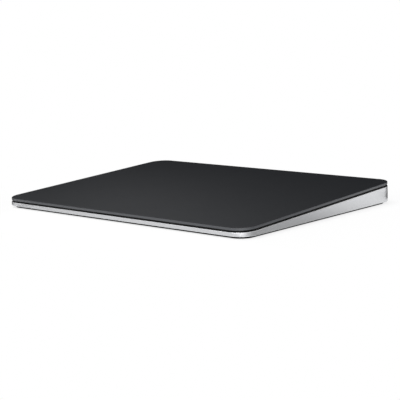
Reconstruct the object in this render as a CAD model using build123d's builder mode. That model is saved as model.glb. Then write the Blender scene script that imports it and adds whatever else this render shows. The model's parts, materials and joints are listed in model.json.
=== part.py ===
from build123d import *
import os
from math import atan2, cos, degrees, radians, sin, tan

# A flat wireless touch pad: a black glass deck that floats on four sensing springs in a wedge-shaped
# aluminium tub. X runs to the right, Y from the user's edge to the rear edge and Z up. The origin is
# under the middle of the pad, on the plane that its feet stand on. All lengths are in millimetres.

os.makedirs("parts", exist_ok=True)

# Outline and wedge
width = 160.0
depth = 114.9
front_height = 4.9
rear_height = 10.9
corner_radius = 8.6

# Layers of the deck, measured straight down from the glass
glass_inset = 0.1
glass_thickness = 1.1
glass_bevel = 0.12
glue_thickness = 0.1
board_thickness = 0.6
stiffener_thickness = 0.5
frame_reveal = 0.45
flange_thickness = 0.5
skirt_depth = 0.7
skirt_wall = 0.8
skirt_spare = 0.35
board_gap = 0.1
stiffener_border = 1.6

# Tub and base plate
wall = 1.6
floor_thickness = 0.5
rim_spare = 0.2
rim_bevel = 0.1
wall_bevel = 0.15
foot_height = 0.9
base_reveal = 0.25
base_thickness = 0.35
base_inset = 0.9
base_gap = 0.1
base_glue = 0.05
base_bevel = 0.12
overrun = 1.0

# Feet
foot_radius = 4.5
foot_recess = 0.1
foot_bevel = 0.08
foot_inset = 11.0

# Motion of the deck and of the switch
press_travel = 0.2
shift_travel = 0.15

# Sensing springs, one near each corner, with a gel pad on each
flexure_length = 20.0
flexure_width = 9.0
flexure_thickness = 0.3
flexure_foot = 4.0
flexure_beam = 1.0
flexure_pad_length = 9.0
flexure_pad_width = 5.0
flexure_neck = 2.0
flexure_side_gap = 2.4
flexure_front_gap = 9.0
flexure_spare = 0.04
gel_thickness = 0.8
gel_margin = 0.3
gel_radius = 1.0
gauge_end_gap = 0.9
gauge_margin = 0.15
gauge_thickness = 0.06

# Screws, all of one size
screw_radius = 0.7
screw_clearance = 0.03
screw_hole_gap = 0.1
screw_length = 1.0
screw_head_radius = 1.2
screw_head_height = 0.35
screw_socket_radius = 0.5
screw_socket_depth = 0.22
screw_hole_spare = 0.1

# Battery behind the middle, in a bay between the rear springs
battery_from_middle = 13.0
battery_lane = 3.8
lane_gap = 0.2
battery_cell_gap = 0.8
battery_swell_gap = 0.6
battery_rear_gap = 0.5
battery_corner = 1.5
battery_edge = 0.5
battery_terrace = 3.8
battery_terrace_thickness = 0.5
battery_glue = 0.15
battery_strip_width = 8.0
battery_strip_margin = 3.0
battery_strip_shares = (0.25, 0.75)
bay_rib = 0.6
bay_rib_height = 1.0
bay_rib_gap = 0.3
protection_board_depth = 3.0
protection_board_thickness = 0.5
protection_chip_count = 4

# Haptic engine ahead of the battery: a comb core with three coils that pulls a rail on the deck
rail_end_gap = 1.0
rail_depth = 3.0
rail_height = 1.9
rail_battery_gap = 1.4
rail_screw_inset = 2.2
air_spare = 0.25
engine_clearance = 0.4
engine_width = 50.0
engine_depth = 21.0
engine_plate = 0.4
engine_wall_height = 1.2
ear_side = 5.0
core_thickness = 0.7
core_bar_depth = 2.5
core_side_gap = 2.0
core_leg_width = 2.5
core_leg_gap = 1.5
tooth_width = 6.0
coil_gap = 0.05
coil_winding = 1.5
coil_wrap = 0.35
coil_corner = 0.6
coil_end_gap = 1.2

# Circuit boards that lie on the tub's floor
standoff_radius = 1.9
standoff_height = 0.5
side_board_wall_gap = 5.4
side_board_depth = 28.0
side_board_thickness = 0.6
side_board_gap = 2.0
side_board_battery_gap = 7.0
side_board_corner = 1.0
board_screw_inset = 2.2
io_wall_gap = 0.9
io_board_depth = 7.4
io_board_thickness = 0.8
io_board_reach = 12.0
io_standoff_height = 0.55
io_screw_share = 0.5
processor_side = 7.0
processor_height = 0.8
small_chip_side = 3.4
small_chip_height = 0.6
passive_length = 1.2
passive_spacing = 2.4
touch_passive_counts = (4, 2)
logic_passive_counts = (2, 2)
force_passive_counts = (6, 2)
passive_width = 0.6
passive_height = 0.5
shield_width = 8.0
shield_depth = 8.0
shield_height = 1.0
shield_wall = 0.2
connector_width = 7.0
connector_depth = 2.2
connector_height = 0.6
lead_connector_width = 3.4
narrow_connector_width = 3.0

# Flat cables
ribbon_thickness = 0.15
ribbon_wide = 6.0
ribbon_lead = 2.8
ribbon_narrow = 2.4
ribbon_bend = 0.5
ribbon_ramp = 2.0
ribbon_sag = 1.0

# Charging socket in the middle of the rear wall
socket_width = 8.94
socket_height = 3.16
socket_wall = 0.3
socket_length = 7.3
socket_setback = 0.35
socket_opening_gap = 0.12
socket_bevel = 0.2
tongue_width = 6.69
tongue_thickness = 0.7
tongue_setback = 0.9
tongue_bevel = 0.15
socket_back_length = 2.2
contact_count = 12
contact_spacing = 0.5
contact_width = 0.26
contact_length = 2.6
contact_thickness = 0.04
contact_tip_gap = 0.4
insulator_gap = 0.05
gasket_depth = 0.8
gasket_width = 0.35

# Power switch in the rear wall
switch_board_inset = 10.0
switch_travel = 2.2
knob_length = 4.6
knob_height = 2.2
knob_gap = 0.15
knob_end_gap = 0.2
knob_setback = 0.15
knob_bevel = 0.15
shuttle_thickness = 0.6
shuttle_wall_gap = 0.1
shuttle_cover = 0.25
shuttle_end_cover = 0.8
mark_thickness = 0.15
arm_width = 1.2
arm_height = 1.0
arm_length = 1.0
arm_gap = 0.2
switch_body_length = 7.6
switch_body_depth = 2.6
switch_body_gap = 0.2
switch_body_top = 1.2
switch_body_wall = 0.5

# Radio antenna against the left wall
antenna_width = 3.0
antenna_wall_gap = 0.2
antenna_film = 0.1
antenna_track = 0.5
antenna_spacing = 1.6
antenna_turns = 13
antenna_end = 1.2

# Rubber stops under the deck
stop_radius = 2.0
stop_spare = 0.05
stop_wall_gap = 5.4
stop_front_gap = 9.0
stop_rear_ahead = 16.0

# Low ribs milled in the floor ahead of the engine
floor_rib = 0.8
floor_rib_height = 0.25
floor_rib_count = 5
floor_rib_spacing = 22.0
floor_rib_length = 16.0

# Windows in the stiffener
window_side_lap = 1.0
window_bar = 6.0
window_depth = 20.0
window_corner = 2.0
window_columns = 4

# Places of the small parts, as shares of half a board's or half a window's size, from its middle
processor_shares = (-0.4, 0.0)
logic_chip_shares = ((0.0, 0.4), (0.0, -0.4), (-0.8, 0.3))
logic_passive_shares = (0.0, 0.0)
shield_shares = (0.45, 0.0)
force_chip_shares = ((-0.5, 0.2), (-0.1, 0.2), (0.3, 0.2), (0.7, 0.2))
force_passive_shares = (0.1, -0.25)
touch_connector_shares = (-0.5, -0.2)
touch_processor_shares = (0.4, 0.0)
touch_chip_shares = (0.4, -0.65)
touch_passive_shares = (-0.5, -0.7)

# Worked out from the sizes above
glass_width = width - 2 * glass_inset
glass_run = depth - 2 * glass_inset
tilt = atan2(rear_height - front_height, glass_run)
middle_height = (front_height + rear_height) / 2
board_drop = glass_thickness + glue_thickness
stiffener_drop = board_drop + board_thickness
stack_drop = stiffener_drop + stiffener_thickness
flange_drop = glass_thickness + flange_thickness
rim_drop = flange_drop + press_travel + rim_spare
frame_inset = glass_inset + frame_reveal
skirt_inset = wall + shift_travel + skirt_spare
opening_inset = skirt_inset + skirt_wall
board_inset = opening_inset + board_gap
stiffener_inset = board_inset + stiffener_border
flexure_drop = stack_drop + gel_thickness
post_drop = flexure_drop + flexure_thickness
coil_width = tooth_width + 2 * (coil_gap + coil_winding)
coil_height = core_thickness + 2 * (coil_gap + coil_wrap)
core_half_width = engine_width / 2 - core_side_gap
tooth_spacing = core_half_width - core_leg_width - core_leg_gap - coil_width / 2
engine_deck_drop = stack_drop + engine_clearance + coil_height
engine_seat_drop = engine_deck_drop + engine_plate
wall_bottom = foot_height + base_reveal
base_top = foot_height + base_thickness
recess_top = base_top + base_glue
floor_top = recess_top + floor_thickness
cavity_half_width = width / 2 - wall
cavity_half_depth = depth / 2 - wall

standing = (Align.CENTER, Align.CENTER, Align.MIN)
hanging = (Align.CENTER, Align.CENTER, Align.MAX)


def deck_at(drop):
    """Plane parallel to the glass, this far square below the middle of its face."""
    return Plane(
        origin=(0, drop * sin(tilt), middle_height - drop * cos(tilt)),
        x_dir=(1, 0, 0),
        z_dir=(0, -sin(tilt), cos(tilt)),
    )


def height_at(drop, y):
    """Height over the feet of the plane deck_at(drop), at depth y."""
    return middle_height + y * tan(tilt) - drop / cos(tilt)


def depth_at(drop, y):
    """Depth, seen from straight above, of the place y on the plane deck_at(drop)."""
    return y * cos(tilt) + drop * sin(tilt)


def save(piece, label):
    """Labels a finished piece and writes its STEP file."""
    piece.part.label = label
    export_step(piece.part, f"parts/{label}.step")


def deck_sheet(drop, thickness, inset):
    """Rounded sheet of the deck, with its edge this far inside the tub's outline."""
    with BuildPart() as made:
        with BuildSketch(deck_at(drop)):
            RectangleRounded(
                width - 2 * inset,
                (depth - 2 * inset) / cos(tilt),
                corner_radius - inset,
            )
        extrude(amount=-thickness)
    return made


def screws(plane, spots, length=screw_length):
    """One screw per spot, its head seated on the plane and its thread below it."""
    with BuildPart() as made:
        with BuildSketch(plane):
            with Locations(*spots):
                Circle(screw_head_radius)
        extrude(amount=screw_head_height)
        with BuildSketch(plane):
            with Locations(*spots):
                Circle(screw_radius)
        extrude(amount=-length)
        with BuildSketch(plane.offset(screw_head_height)):
            with Locations(*spots):
                RegularPolygon(screw_socket_radius, side_count=6)
        extrude(amount=-screw_socket_depth, mode=Mode.SUBTRACT)
    return made


def ribbon(middle, points, ribbon_width):
    """Flat cable that follows points in its middle plane, equally wide on both sides of it."""
    with BuildPart() as made:
        with BuildSketch(middle):
            with BuildLine() as path:
                FilletPolyline(*points, radius=ribbon_bend)
            trace(path.line, line_width=ribbon_thickness)
        extrude(amount=ribbon_width / 2, both=True)
    return made


def along_x(y):
    """Upright plane along X at depth y, with X and height as its axes."""
    return Plane.XZ.offset(-y)


# Sensing springs: as far forward and back as the walls, the socket board and the floor let them
flexure_x = cavity_half_width - flexure_side_gap - flexure_length / 2
rear_strip = io_wall_gap + io_board_depth + battery_rear_gap
rear_flexure_y = cavity_half_depth - rear_strip - flexure_width / 2
lowest_flexure = floor_top + press_travel + flexure_spare - height_at(post_drop, 0)
front_flexure_y = (
    max(flexure_front_gap - cavity_half_depth, lowest_flexure / tan(tilt))
    + flexure_width / 2
)
corners = {
    "front_left": (-flexure_x, front_flexure_y),
    "front_right": (flexure_x, front_flexure_y),
    "rear_left": (-flexure_x, rear_flexure_y),
    "rear_right": (flexure_x, rear_flexure_y),
}
flexure_foot_x = (flexure_length - flexure_foot) / 2
beam_y = (flexure_width - flexure_beam) / 2
flexure_screw_spots = [
    (x + side * flexure_foot_x, y) for x, y in corners.values() for side in (-1, 1)
]

# Battery bay
battery_half_width = flexure_x - flexure_length / 2 - battery_lane
battery_rear_y = cavity_half_depth - rear_strip
battery_front_y = battery_from_middle
battery_depth = battery_rear_y - battery_front_y
cell_bottom = floor_top + battery_glue
cell_front_y = battery_front_y + battery_terrace
cell_thickness = height_at(stack_drop, cell_front_y) - battery_swell_gap - cell_bottom

# Haptic engine
rail_rear_y = battery_front_y - rail_battery_gap
rail_y = rail_rear_y - rail_depth / 2
rail_length = engine_width - 2 * rail_end_gap
rail_screw_spots = [
    (side * (rail_length / 2 - rail_screw_inset), rail_y) for side in (-1, 1)
]
pole_face_y = rail_rear_y - rail_depth - shift_travel - air_spare
engine_front_y = pole_face_y - engine_depth
engine_y = (pole_face_y + engine_front_y) / 2
ear_x = (engine_width + ear_side) / 2
ear_y = (engine_depth - ear_side) / 2
ear_spots = [(sx * ear_x, engine_y + sy * ear_y) for sx in (-1, 1) for sy in (-1, 1)]

# Boards beside the engine
board_edge_x = engine_width / 2 + ear_side + side_board_gap
side_board_width = cavity_half_width - side_board_wall_gap - board_edge_x
side_board_x = board_edge_x + side_board_width / 2
side_board_rear_y = battery_front_y - side_board_battery_gap
side_board_front_y = side_board_rear_y - side_board_depth
side_board_y = (side_board_rear_y + side_board_front_y) / 2
side_board_bottom = floor_top + standoff_height
side_board_top = side_board_bottom + side_board_thickness
board_screw_x = side_board_width / 2 - board_screw_inset
board_screw_y = side_board_depth / 2 - board_screw_inset
side_board_screw_spots = [
    (side * side_board_x + dx * board_screw_x, side_board_y + dy * board_screw_y)
    for side in (-1, 1)
    for dx, dy in ((-1, 1), (1, 1), (side, -1))
]

# Socket board along the rear wall
io_board_bottom = floor_top + io_standoff_height
io_board_top = io_board_bottom + io_board_thickness
socket_z = io_board_top + socket_height / 2
io_board_left = -(battery_half_width + battery_lane)
switch_x = io_board_left + switch_board_inset
io_board_x = (io_board_left + io_board_reach) / 2
io_board_width = io_board_reach - io_board_left
io_board_y = cavity_half_depth - io_wall_gap - io_board_depth / 2
io_front_y = io_board_y - io_board_depth / 2
io_screw_y = io_front_y + board_screw_inset
io_screw_spots = [
    (io_board_reach - board_screw_inset, io_screw_y),
    (io_screw_share * switch_x, io_screw_y),
]

# Connectors and flat cables
connector_top = side_board_top + connector_height
ribbon_rest = connector_top + ribbon_thickness / 2
ribbon_low = floor_top + ribbon_thickness / 2
half_connector = connector_depth / 2
front_row_y = side_board_front_y + connector_depth
rear_row_y = side_board_rear_y - connector_depth
bridge_x = board_edge_x + connector_depth
bridge_y = engine_front_y - ribbon_wide / 2 - side_board_corner
lane_x = -(battery_half_width + bay_rib_gap + bay_rib + lane_gap + ribbon_narrow / 2)
lead_room = (
    lane_x + narrow_connector_width / 2,
    -(board_edge_x + board_screw_inset + screw_head_radius),
)
lead_x = sum(lead_room) / 2

# The rear wall's outer face, seen from behind, at the height of the socket's middle
rear_face = Plane(
    origin=(0, depth / 2, socket_z), x_dir=(-1, 0, 0), z_dir=(0, 1, 0)
)
slot_length = knob_length + switch_travel + 2 * knob_end_gap
slot_height = knob_height + 2 * knob_gap
knob_x = switch_x + switch_travel / 2

# Glass deck: the glass, its bonding layer and the sensing board
with BuildPart() as glass_plate:
    with BuildSketch(deck_at(0)):
        RectangleRounded(
            glass_width, glass_run / cos(tilt), corner_radius - glass_inset
        )
    extrude(amount=-glass_thickness)
    chamfer(glass_plate.faces().sort_by(SortBy.AREA)[-2:].edges(), glass_bevel)
save(glass_plate, "glass_plate")

save(deck_sheet(glass_thickness, glue_thickness, board_inset), "glass_adhesive")
save(deck_sheet(board_drop, board_thickness, board_inset), "touch_board")

# Black frame: a flange under the glass's edge and a skirt that hangs inside the tub
with BuildPart() as deck_frame:
    add(deck_sheet(glass_thickness, flange_thickness, frame_inset).part)
    add(deck_sheet(flange_drop, skirt_depth, skirt_inset).part)
    with BuildSketch(deck_at(glass_thickness - overrun)):
        RectangleRounded(
            width - 2 * opening_inset,
            (depth - 2 * opening_inset) / cos(tilt),
            corner_radius - opening_inset,
        )
    extrude(
        amount=-(flange_thickness + skirt_depth + 2 * overrun), mode=Mode.SUBTRACT
    )
save(deck_frame, "deck_frame")

# Stiffener with four windows in front and four behind
window_reach = flexure_x - flexure_length / 2 + window_side_lap
window_width = (2 * window_reach - (window_columns - 1) * window_bar) / window_columns
window_spacing = window_width + window_bar
front_window_y = side_board_front_y + half_connector - window_depth / 2
rear_window_y = (battery_front_y + battery_rear_y) / 2
with BuildPart() as stiffener_plate:
    add(deck_sheet(stiffener_drop, stiffener_thickness, stiffener_inset).part)
    for window_y in (front_window_y, rear_window_y):
        with BuildSketch(deck_at(stiffener_drop - overrun)):
            with Locations((0, window_y)):
                with GridLocations(window_spacing, 0, window_columns, 1):
                    RectangleRounded(window_width, window_depth, window_corner)
        extrude(amount=-(stiffener_thickness + 2 * overrun), mode=Mode.SUBTRACT)
    with BuildSketch(deck_at(stiffener_drop)):
        with Locations(*rail_screw_spots):
            Circle(screw_radius + screw_clearance)
    extrude(amount=-stiffener_thickness, mode=Mode.SUBTRACT)
save(stiffener_plate, "stiffener_plate")

# Steel rail under the stiffener, which the haptic engine pulls
with BuildPart() as attraction_rail:
    with BuildSketch(deck_at(stack_drop)):
        with Locations((0, rail_y)):
            Rectangle(rail_length, rail_depth)
        with Locations(*rail_screw_spots):
            Circle(screw_radius + screw_hole_gap, mode=Mode.SUBTRACT)
    extrude(amount=-rail_height)
save(attraction_rail, "attraction_rail")

rail_foot = deck_at(stack_drop + rail_height)
rail_underside = Plane(
    origin=rail_foot.origin, x_dir=rail_foot.x_dir, z_dir=-rail_foot.z_dir
)
save(
    screws(
        rail_underside,
        [(x, -y) for x, y in rail_screw_spots],
        rail_height + stiffener_thickness - screw_hole_spare,
    ),
    "rail_screws",
)


def in_touch_window(shares):
    """Point on the touch board's underside, from shares of half the leftmost front window."""
    window_x = -window_spacing * (window_columns - 1) / 2
    return (
        window_x + shares[0] * window_width / 2,
        front_window_y + shares[1] * window_depth / 2,
        0,
    )


# Touch controller, a helper chip, small parts and the cable connector
touch_flex_x, touch_row_y, _ = in_touch_window(touch_connector_shares)
with BuildPart(deck_at(stiffener_drop)) as touch_board_chips:
    with Locations((touch_flex_x, touch_row_y, 0)):
        Box(connector_width, connector_depth, connector_height, align=hanging)
    with Locations(in_touch_window(touch_processor_shares)):
        Box(processor_side, processor_side, processor_height, align=hanging)
    with Locations(in_touch_window(touch_chip_shares)):
        Box(small_chip_side, small_chip_side, small_chip_height, align=hanging)
    with Locations(in_touch_window(touch_passive_shares)):
        with GridLocations(passive_spacing, passive_spacing, *touch_passive_counts):
            Box(passive_length, passive_width, passive_height, align=hanging)
save(touch_board_chips, "touch_board_chips")

# Gel pads and sensing springs
for name, (x, y) in corners.items():
    with BuildPart() as gel_pad:
        with BuildSketch(deck_at(stack_drop)):
            with Locations((x, y)):
                RectangleRounded(
                    flexure_pad_length - 2 * gel_margin,
                    flexure_pad_width - 2 * gel_margin,
                    gel_radius,
                )
        extrude(amount=-gel_thickness)
    save(gel_pad, f"gel_pad_{name}")

    with BuildPart() as flexure:
        with BuildSketch(deck_at(flexure_drop)):
            with Locations((x, y)):
                Rectangle(flexure_pad_length, flexure_pad_width)
                Rectangle(flexure_neck, flexure_width)
            with Locations((x, y - beam_y), (x, y + beam_y)):
                Rectangle(flexure_length, flexure_beam)
            with Locations((x - flexure_foot_x, y), (x + flexure_foot_x, y)):
                Rectangle(flexure_foot, flexure_width)
                Circle(screw_radius + screw_hole_gap, mode=Mode.SUBTRACT)
        extrude(amount=-flexure_thickness)
    save(flexure, f"flexure_{name}")

save(screws(deck_at(flexure_drop), flexure_screw_spots), "flexure_screws")

# Strain gauges: a strip of film along each beam
gauge_length = flexure_length - 2 * (flexure_foot + gauge_end_gap)
gauge_spots = [(x, y + side * beam_y) for x, y in corners.values() for side in (-1, 1)]
with BuildPart() as strain_gauges:
    with BuildSketch(deck_at(flexure_drop)):
        with Locations(*gauge_spots):
            Rectangle(gauge_length, flexure_beam - 2 * gauge_margin)
    extrude(amount=gauge_thickness)
save(strain_gauges, "strain_gauges")

# Posts of the tub for the springs and the engine, cut to the slope of the deck
with BuildPart() as flexure_posts:
    with BuildSketch(Plane.XY.offset(recess_top)):
        with Locations(*[(x, depth_at(post_drop, y)) for x, y in flexure_screw_spots]):
            Rectangle(flexure_foot, flexure_width)
    extrude(amount=rear_height)
    split(bisect_by=deck_at(post_drop), keep=Keep.BOTTOM)

with BuildPart() as engine_posts:
    with BuildSketch(Plane.XY.offset(recess_top)):
        with Locations(*[(x, depth_at(engine_seat_drop, y)) for x, y in ear_spots]):
            Rectangle(ear_side, ear_side)
    extrude(amount=rear_height)
    split(bisect_by=deck_at(engine_seat_drop), keep=Keep.BOTTOM)

# Tub: a wedge milled from one piece, open at the top, with a shallow recess for the base plate
with BuildPart() as housing:
    with BuildSketch(Plane.XY.offset(wall_bottom)):
        RectangleRounded(width, depth, corner_radius)
    extrude(amount=rear_height)
    split(bisect_by=deck_at(rim_drop), keep=Keep.BOTTOM)
    rim_face = housing.faces().filter_by(deck_at(rim_drop)).sort_by(SortBy.AREA)[-1]
    chamfer(rim_face.outer_wire().edges(), rim_bevel)
    underside = housing.faces().sort_by(Axis.Z)[0]
    chamfer(underside.outer_wire().edges(), wall_bevel)
    with BuildSketch(Plane.XY.offset(floor_top)):
        RectangleRounded(
            2 * cavity_half_width, 2 * cavity_half_depth, corner_radius - wall
        )
    extrude(amount=rear_height, mode=Mode.SUBTRACT)
    with BuildSketch(Plane.XY.offset(wall_bottom)):
        RectangleRounded(
            width - 2 * (base_inset - base_gap),
            depth - 2 * (base_inset - base_gap),
            corner_radius - base_inset + base_gap,
        )
    extrude(amount=recess_top - wall_bottom, mode=Mode.SUBTRACT)
    # Posts, standoffs and ribs on the floor
    add(flexure_posts.part)
    add(engine_posts.part)
    with BuildSketch(Plane.XY.offset(recess_top)):
        with Locations(*side_board_screw_spots):
            Circle(standoff_radius)
    extrude(amount=side_board_bottom - recess_top)
    with BuildSketch(Plane.XY.offset(recess_top)):
        with Locations(*io_screw_spots):
            Circle(standoff_radius)
    extrude(amount=io_board_bottom - recess_top)
    rib_x = battery_half_width + bay_rib_gap + bay_rib / 2
    rib_length = battery_depth - 2 * battery_terrace
    rib_y = battery_rear_y - rib_length / 2
    with BuildSketch(Plane.XY.offset(recess_top)):
        with Locations((-rib_x, rib_y), (rib_x, rib_y)):
            Rectangle(bay_rib, rib_length)
    extrude(amount=floor_top - recess_top + bay_rib_height)
    floor_rib_y = (engine_front_y - cavity_half_depth) / 2
    with BuildSketch(Plane.XY.offset(recess_top)):
        with Locations((0, floor_rib_y)):
            with GridLocations(floor_rib_spacing, 0, floor_rib_count, 1):
                Rectangle(floor_rib, floor_rib_length)
            Rectangle(floor_rib_spacing * (floor_rib_count - 1), floor_rib)
    extrude(amount=floor_top - recess_top + floor_rib_height)
    # Threaded holes
    with BuildSketch(deck_at(post_drop)):
        with Locations(*flexure_screw_spots):
            Circle(screw_radius + screw_clearance)
    extrude(
        amount=-(screw_length - flexure_thickness + screw_hole_spare),
        mode=Mode.SUBTRACT,
    )
    with BuildSketch(deck_at(engine_seat_drop)):
        with Locations(*ear_spots):
            Circle(screw_radius + screw_clearance)
    extrude(
        amount=-(screw_length - engine_plate + screw_hole_spare), mode=Mode.SUBTRACT
    )
    with BuildSketch(Plane.XY.offset(side_board_bottom)):
        with Locations(*side_board_screw_spots):
            Circle(screw_radius + screw_clearance)
    extrude(
        amount=-(screw_length - side_board_thickness + screw_hole_spare),
        mode=Mode.SUBTRACT,
    )
    with BuildSketch(Plane.XY.offset(io_board_bottom)):
        with Locations(*io_screw_spots):
            Circle(screw_radius + screw_clearance)
    extrude(
        amount=-(screw_length - io_board_thickness + screw_hole_spare),
        mode=Mode.SUBTRACT,
    )
    # Openings for the charging socket and the switch
    with BuildSketch(rear_face.offset(overrun)):
        SlotOverall(
            socket_width + 2 * socket_opening_gap, socket_height + 2 * socket_opening_gap
        )
        with Locations((-switch_x, 0)):
            SlotOverall(slot_length, slot_height)
    extrude(amount=-(wall + 2 * overrun), mode=Mode.SUBTRACT)
    rear_wall_face = housing.faces().filter_by(Axis.Y).sort_by(Axis.Y)[-1]
    chamfer(rear_wall_face.inner_wires().edges(), socket_bevel)
save(housing, "housing")

# Base plate, its bonding layer and the feet
foot_x = width / 2 - foot_inset
foot_y = depth / 2 - foot_inset
foot_spots = {
    "front_left": (-foot_x, -foot_y),
    "front_right": (foot_x, -foot_y),
    "rear_left": (-foot_x, foot_y),
    "rear_right": (foot_x, foot_y),
}
with BuildPart() as base_plate:
    with BuildSketch(Plane.XY.offset(foot_height)):
        RectangleRounded(
            width - 2 * base_inset, depth - 2 * base_inset, corner_radius - base_inset
        )
    extrude(amount=base_thickness)
    chamfer(base_plate.faces().sort_by(Axis.Z)[0].outer_wire().edges(), base_bevel)
    with BuildSketch(Plane.XY.offset(foot_height)):
        with Locations(*foot_spots.values()):
            Circle(foot_radius + base_gap)
    extrude(amount=foot_recess, mode=Mode.SUBTRACT)
save(base_plate, "base_plate")

with BuildPart() as base_adhesive:
    with BuildSketch(Plane.XY.offset(base_top)):
        RectangleRounded(
            width - 2 * base_inset, depth - 2 * base_inset, corner_radius - base_inset
        )
    extrude(amount=base_glue)
save(base_adhesive, "base_adhesive")

for name, (x, y) in foot_spots.items():
    with BuildPart() as foot:
        with BuildSketch(Plane.XY):
            with Locations((x, y)):
                Circle(foot_radius)
        extrude(amount=foot_height + foot_recess)
        fillet(foot.faces().sort_by(Axis.Z)[0].edges(), foot_bevel)
    save(foot, f"foot_{name}")

# Haptic engine: a folded steel tray, a comb of core steel and three coils
engine_deck = deck_at(engine_deck_drop)
core_lift = (coil_height - core_thickness) / 2
core_front_y = engine_front_y + engine_plate + coil_end_gap
core_bar_y = core_front_y + core_bar_depth / 2
tooth_run = pole_face_y - core_front_y
coil_length = tooth_run - core_bar_depth - 2 * coil_end_gap
coil_names = {"left": -tooth_spacing, "middle": 0, "right": tooth_spacing}
with BuildPart() as haptic_frame:
    with BuildSketch(engine_deck):
        with Locations((0, engine_y)):
            Rectangle(engine_width, engine_depth)
        with Locations(*ear_spots):
            Rectangle(ear_side, ear_side)
            Circle(screw_radius + screw_hole_gap, mode=Mode.SUBTRACT)
    extrude(amount=-engine_plate)
    wall_x = (engine_width - engine_plate) / 2
    with BuildSketch(engine_deck):
        with Locations((-wall_x, engine_y), (wall_x, engine_y)):
            Rectangle(engine_plate, engine_depth - 2 * ear_side)
        with Locations((0, engine_front_y + engine_plate / 2)):
            Rectangle(engine_width, engine_plate)
    extrude(amount=engine_wall_height)
    with BuildSketch(engine_deck):
        with Locations((-tooth_spacing, core_bar_y), (tooth_spacing, core_bar_y)):
            Rectangle(tooth_width, core_bar_depth)
    extrude(amount=core_lift)
save(haptic_frame, "haptic_frame")

with BuildPart() as haptic_core:
    with BuildSketch(engine_deck.offset(core_lift)):
        with Locations((0, core_bar_y)):
            Rectangle(2 * core_half_width, core_bar_depth)
        with Locations(*[(x, core_front_y + tooth_run / 2) for x in coil_names.values()]):
            Rectangle(tooth_width, tooth_run)
        leg_x = core_half_width - core_leg_width / 2
        leg_y = core_front_y + tooth_run / 2
        with Locations((-leg_x, leg_y), (leg_x, leg_y)):
            Rectangle(core_leg_width, tooth_run)
    extrude(amount=core_thickness)
save(haptic_core, "haptic_core")

for name, x in coil_names.items():
    coil_front_y = core_front_y + core_bar_depth + coil_end_gap
    coil_face = Plane(
        origin=engine_deck.from_local_coords((x, coil_front_y, coil_height / 2)),
        x_dir=(1, 0, 0),
        z_dir=(0, cos(tilt), sin(tilt)),
    )
    with BuildPart() as haptic_coil:
        with BuildSketch(coil_face):
            RectangleRounded(coil_width, coil_height, coil_corner)
            Rectangle(
                tooth_width + 2 * coil_gap,
                core_thickness + 2 * coil_gap,
                mode=Mode.SUBTRACT,
            )
        extrude(amount=coil_length)
    save(haptic_coil, f"haptic_coil_{name}")

# Battery: two pouch cells in the bay, each with a thin terrace that carries the protection board
cell_width = battery_half_width - battery_cell_gap / 2
cell_body_depth = battery_depth - battery_terrace
cell_y = cell_front_y + cell_body_depth / 2
for name, side in (("left", -1), ("right", 1)):
    cell_x = side * (battery_cell_gap + cell_width) / 2
    with BuildPart() as battery_cell:
        with Locations((cell_x, cell_y, cell_bottom)):
            Box(cell_width, cell_body_depth, cell_thickness, align=standing)
        fillet(battery_cell.edges().filter_by(Axis.Z), battery_corner)
        fillet(battery_cell.faces().sort_by(Axis.Z)[-1].edges(), battery_edge)
        with Locations((cell_x, cell_front_y, cell_bottom)):
            Box(
                cell_width - 2 * battery_corner,
                2 * battery_terrace,
                battery_terrace_thickness,
                align=standing,
            )
    save(battery_cell, f"battery_cell_{name}")

with BuildPart() as battery_adhesive:
    for share in battery_strip_shares:
        strip_x = share * battery_half_width
        with Locations((-strip_x, cell_y, floor_top), (strip_x, cell_y, floor_top)):
            Box(
                battery_strip_width,
                cell_body_depth - 2 * battery_strip_margin,
                battery_glue,
                align=standing,
            )
save(battery_adhesive, "battery_adhesive")

terrace_top = cell_bottom + battery_terrace_thickness
protection_top = terrace_top + protection_board_thickness
protection_y = battery_front_y + protection_board_depth / 2
with BuildPart() as battery_protection_board:
    with Locations((0, protection_y, terrace_top)):
        Box(
            2 * (battery_half_width - battery_corner),
            protection_board_depth,
            protection_board_thickness,
            align=standing,
        )
    with Locations((0, protection_y, protection_top)):
        with GridLocations(2 * small_chip_side, 0, protection_chip_count, 1):
            Box(
                small_chip_side,
                protection_board_depth - passive_width,
                small_chip_height,
                align=standing,
            )
save(battery_protection_board, "battery_protection_board")


def side_board(side):
    """Board on standoffs beside the haptic engine, with its three screw holes."""
    spots = [spot for spot in side_board_screw_spots if spot[0] * side > 0]
    with BuildPart() as made:
        with BuildSketch(Plane.XY.offset(side_board_bottom)):
            with Locations((side * side_board_x, side_board_y)):
                RectangleRounded(side_board_width, side_board_depth, side_board_corner)
            with Locations(*spots):
                Circle(screw_radius + screw_hole_gap, mode=Mode.SUBTRACT)
        extrude(amount=side_board_thickness)
    return made


def on_side_board(side, shares):
    """Point on a side board, from shares of half its size."""
    return (
        side * side_board_x + shares[0] * side_board_width / 2,
        side_board_y + shares[1] * side_board_depth / 2,
        side_board_top,
    )


save(side_board(-1), "logic_board")
save(side_board(1), "force_board")

# Parts on the logic board: processor, helper chips, small parts and the shielded radio
with BuildPart() as logic_chips:
    with Locations(on_side_board(-1, processor_shares)):
        Box(processor_side, processor_side, processor_height, align=standing)
    with Locations(*[on_side_board(-1, shares) for shares in logic_chip_shares]):
        Box(small_chip_side, small_chip_side, small_chip_height, align=standing)
    with Locations(on_side_board(-1, logic_passive_shares)):
        with GridLocations(passive_spacing, passive_spacing, *logic_passive_counts):
            Box(passive_length, passive_width, passive_height, align=standing)
save(logic_chips, "logic_chips")

with BuildPart() as logic_shield:
    with Locations(on_side_board(-1, shield_shares)):
        Box(shield_width, shield_depth, shield_height, align=standing)
        Box(
            shield_width - 2 * shield_wall,
            shield_depth - 2 * shield_wall,
            shield_height - shield_wall,
            align=standing,
            mode=Mode.SUBTRACT,
        )
save(logic_shield, "logic_shield")

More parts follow.
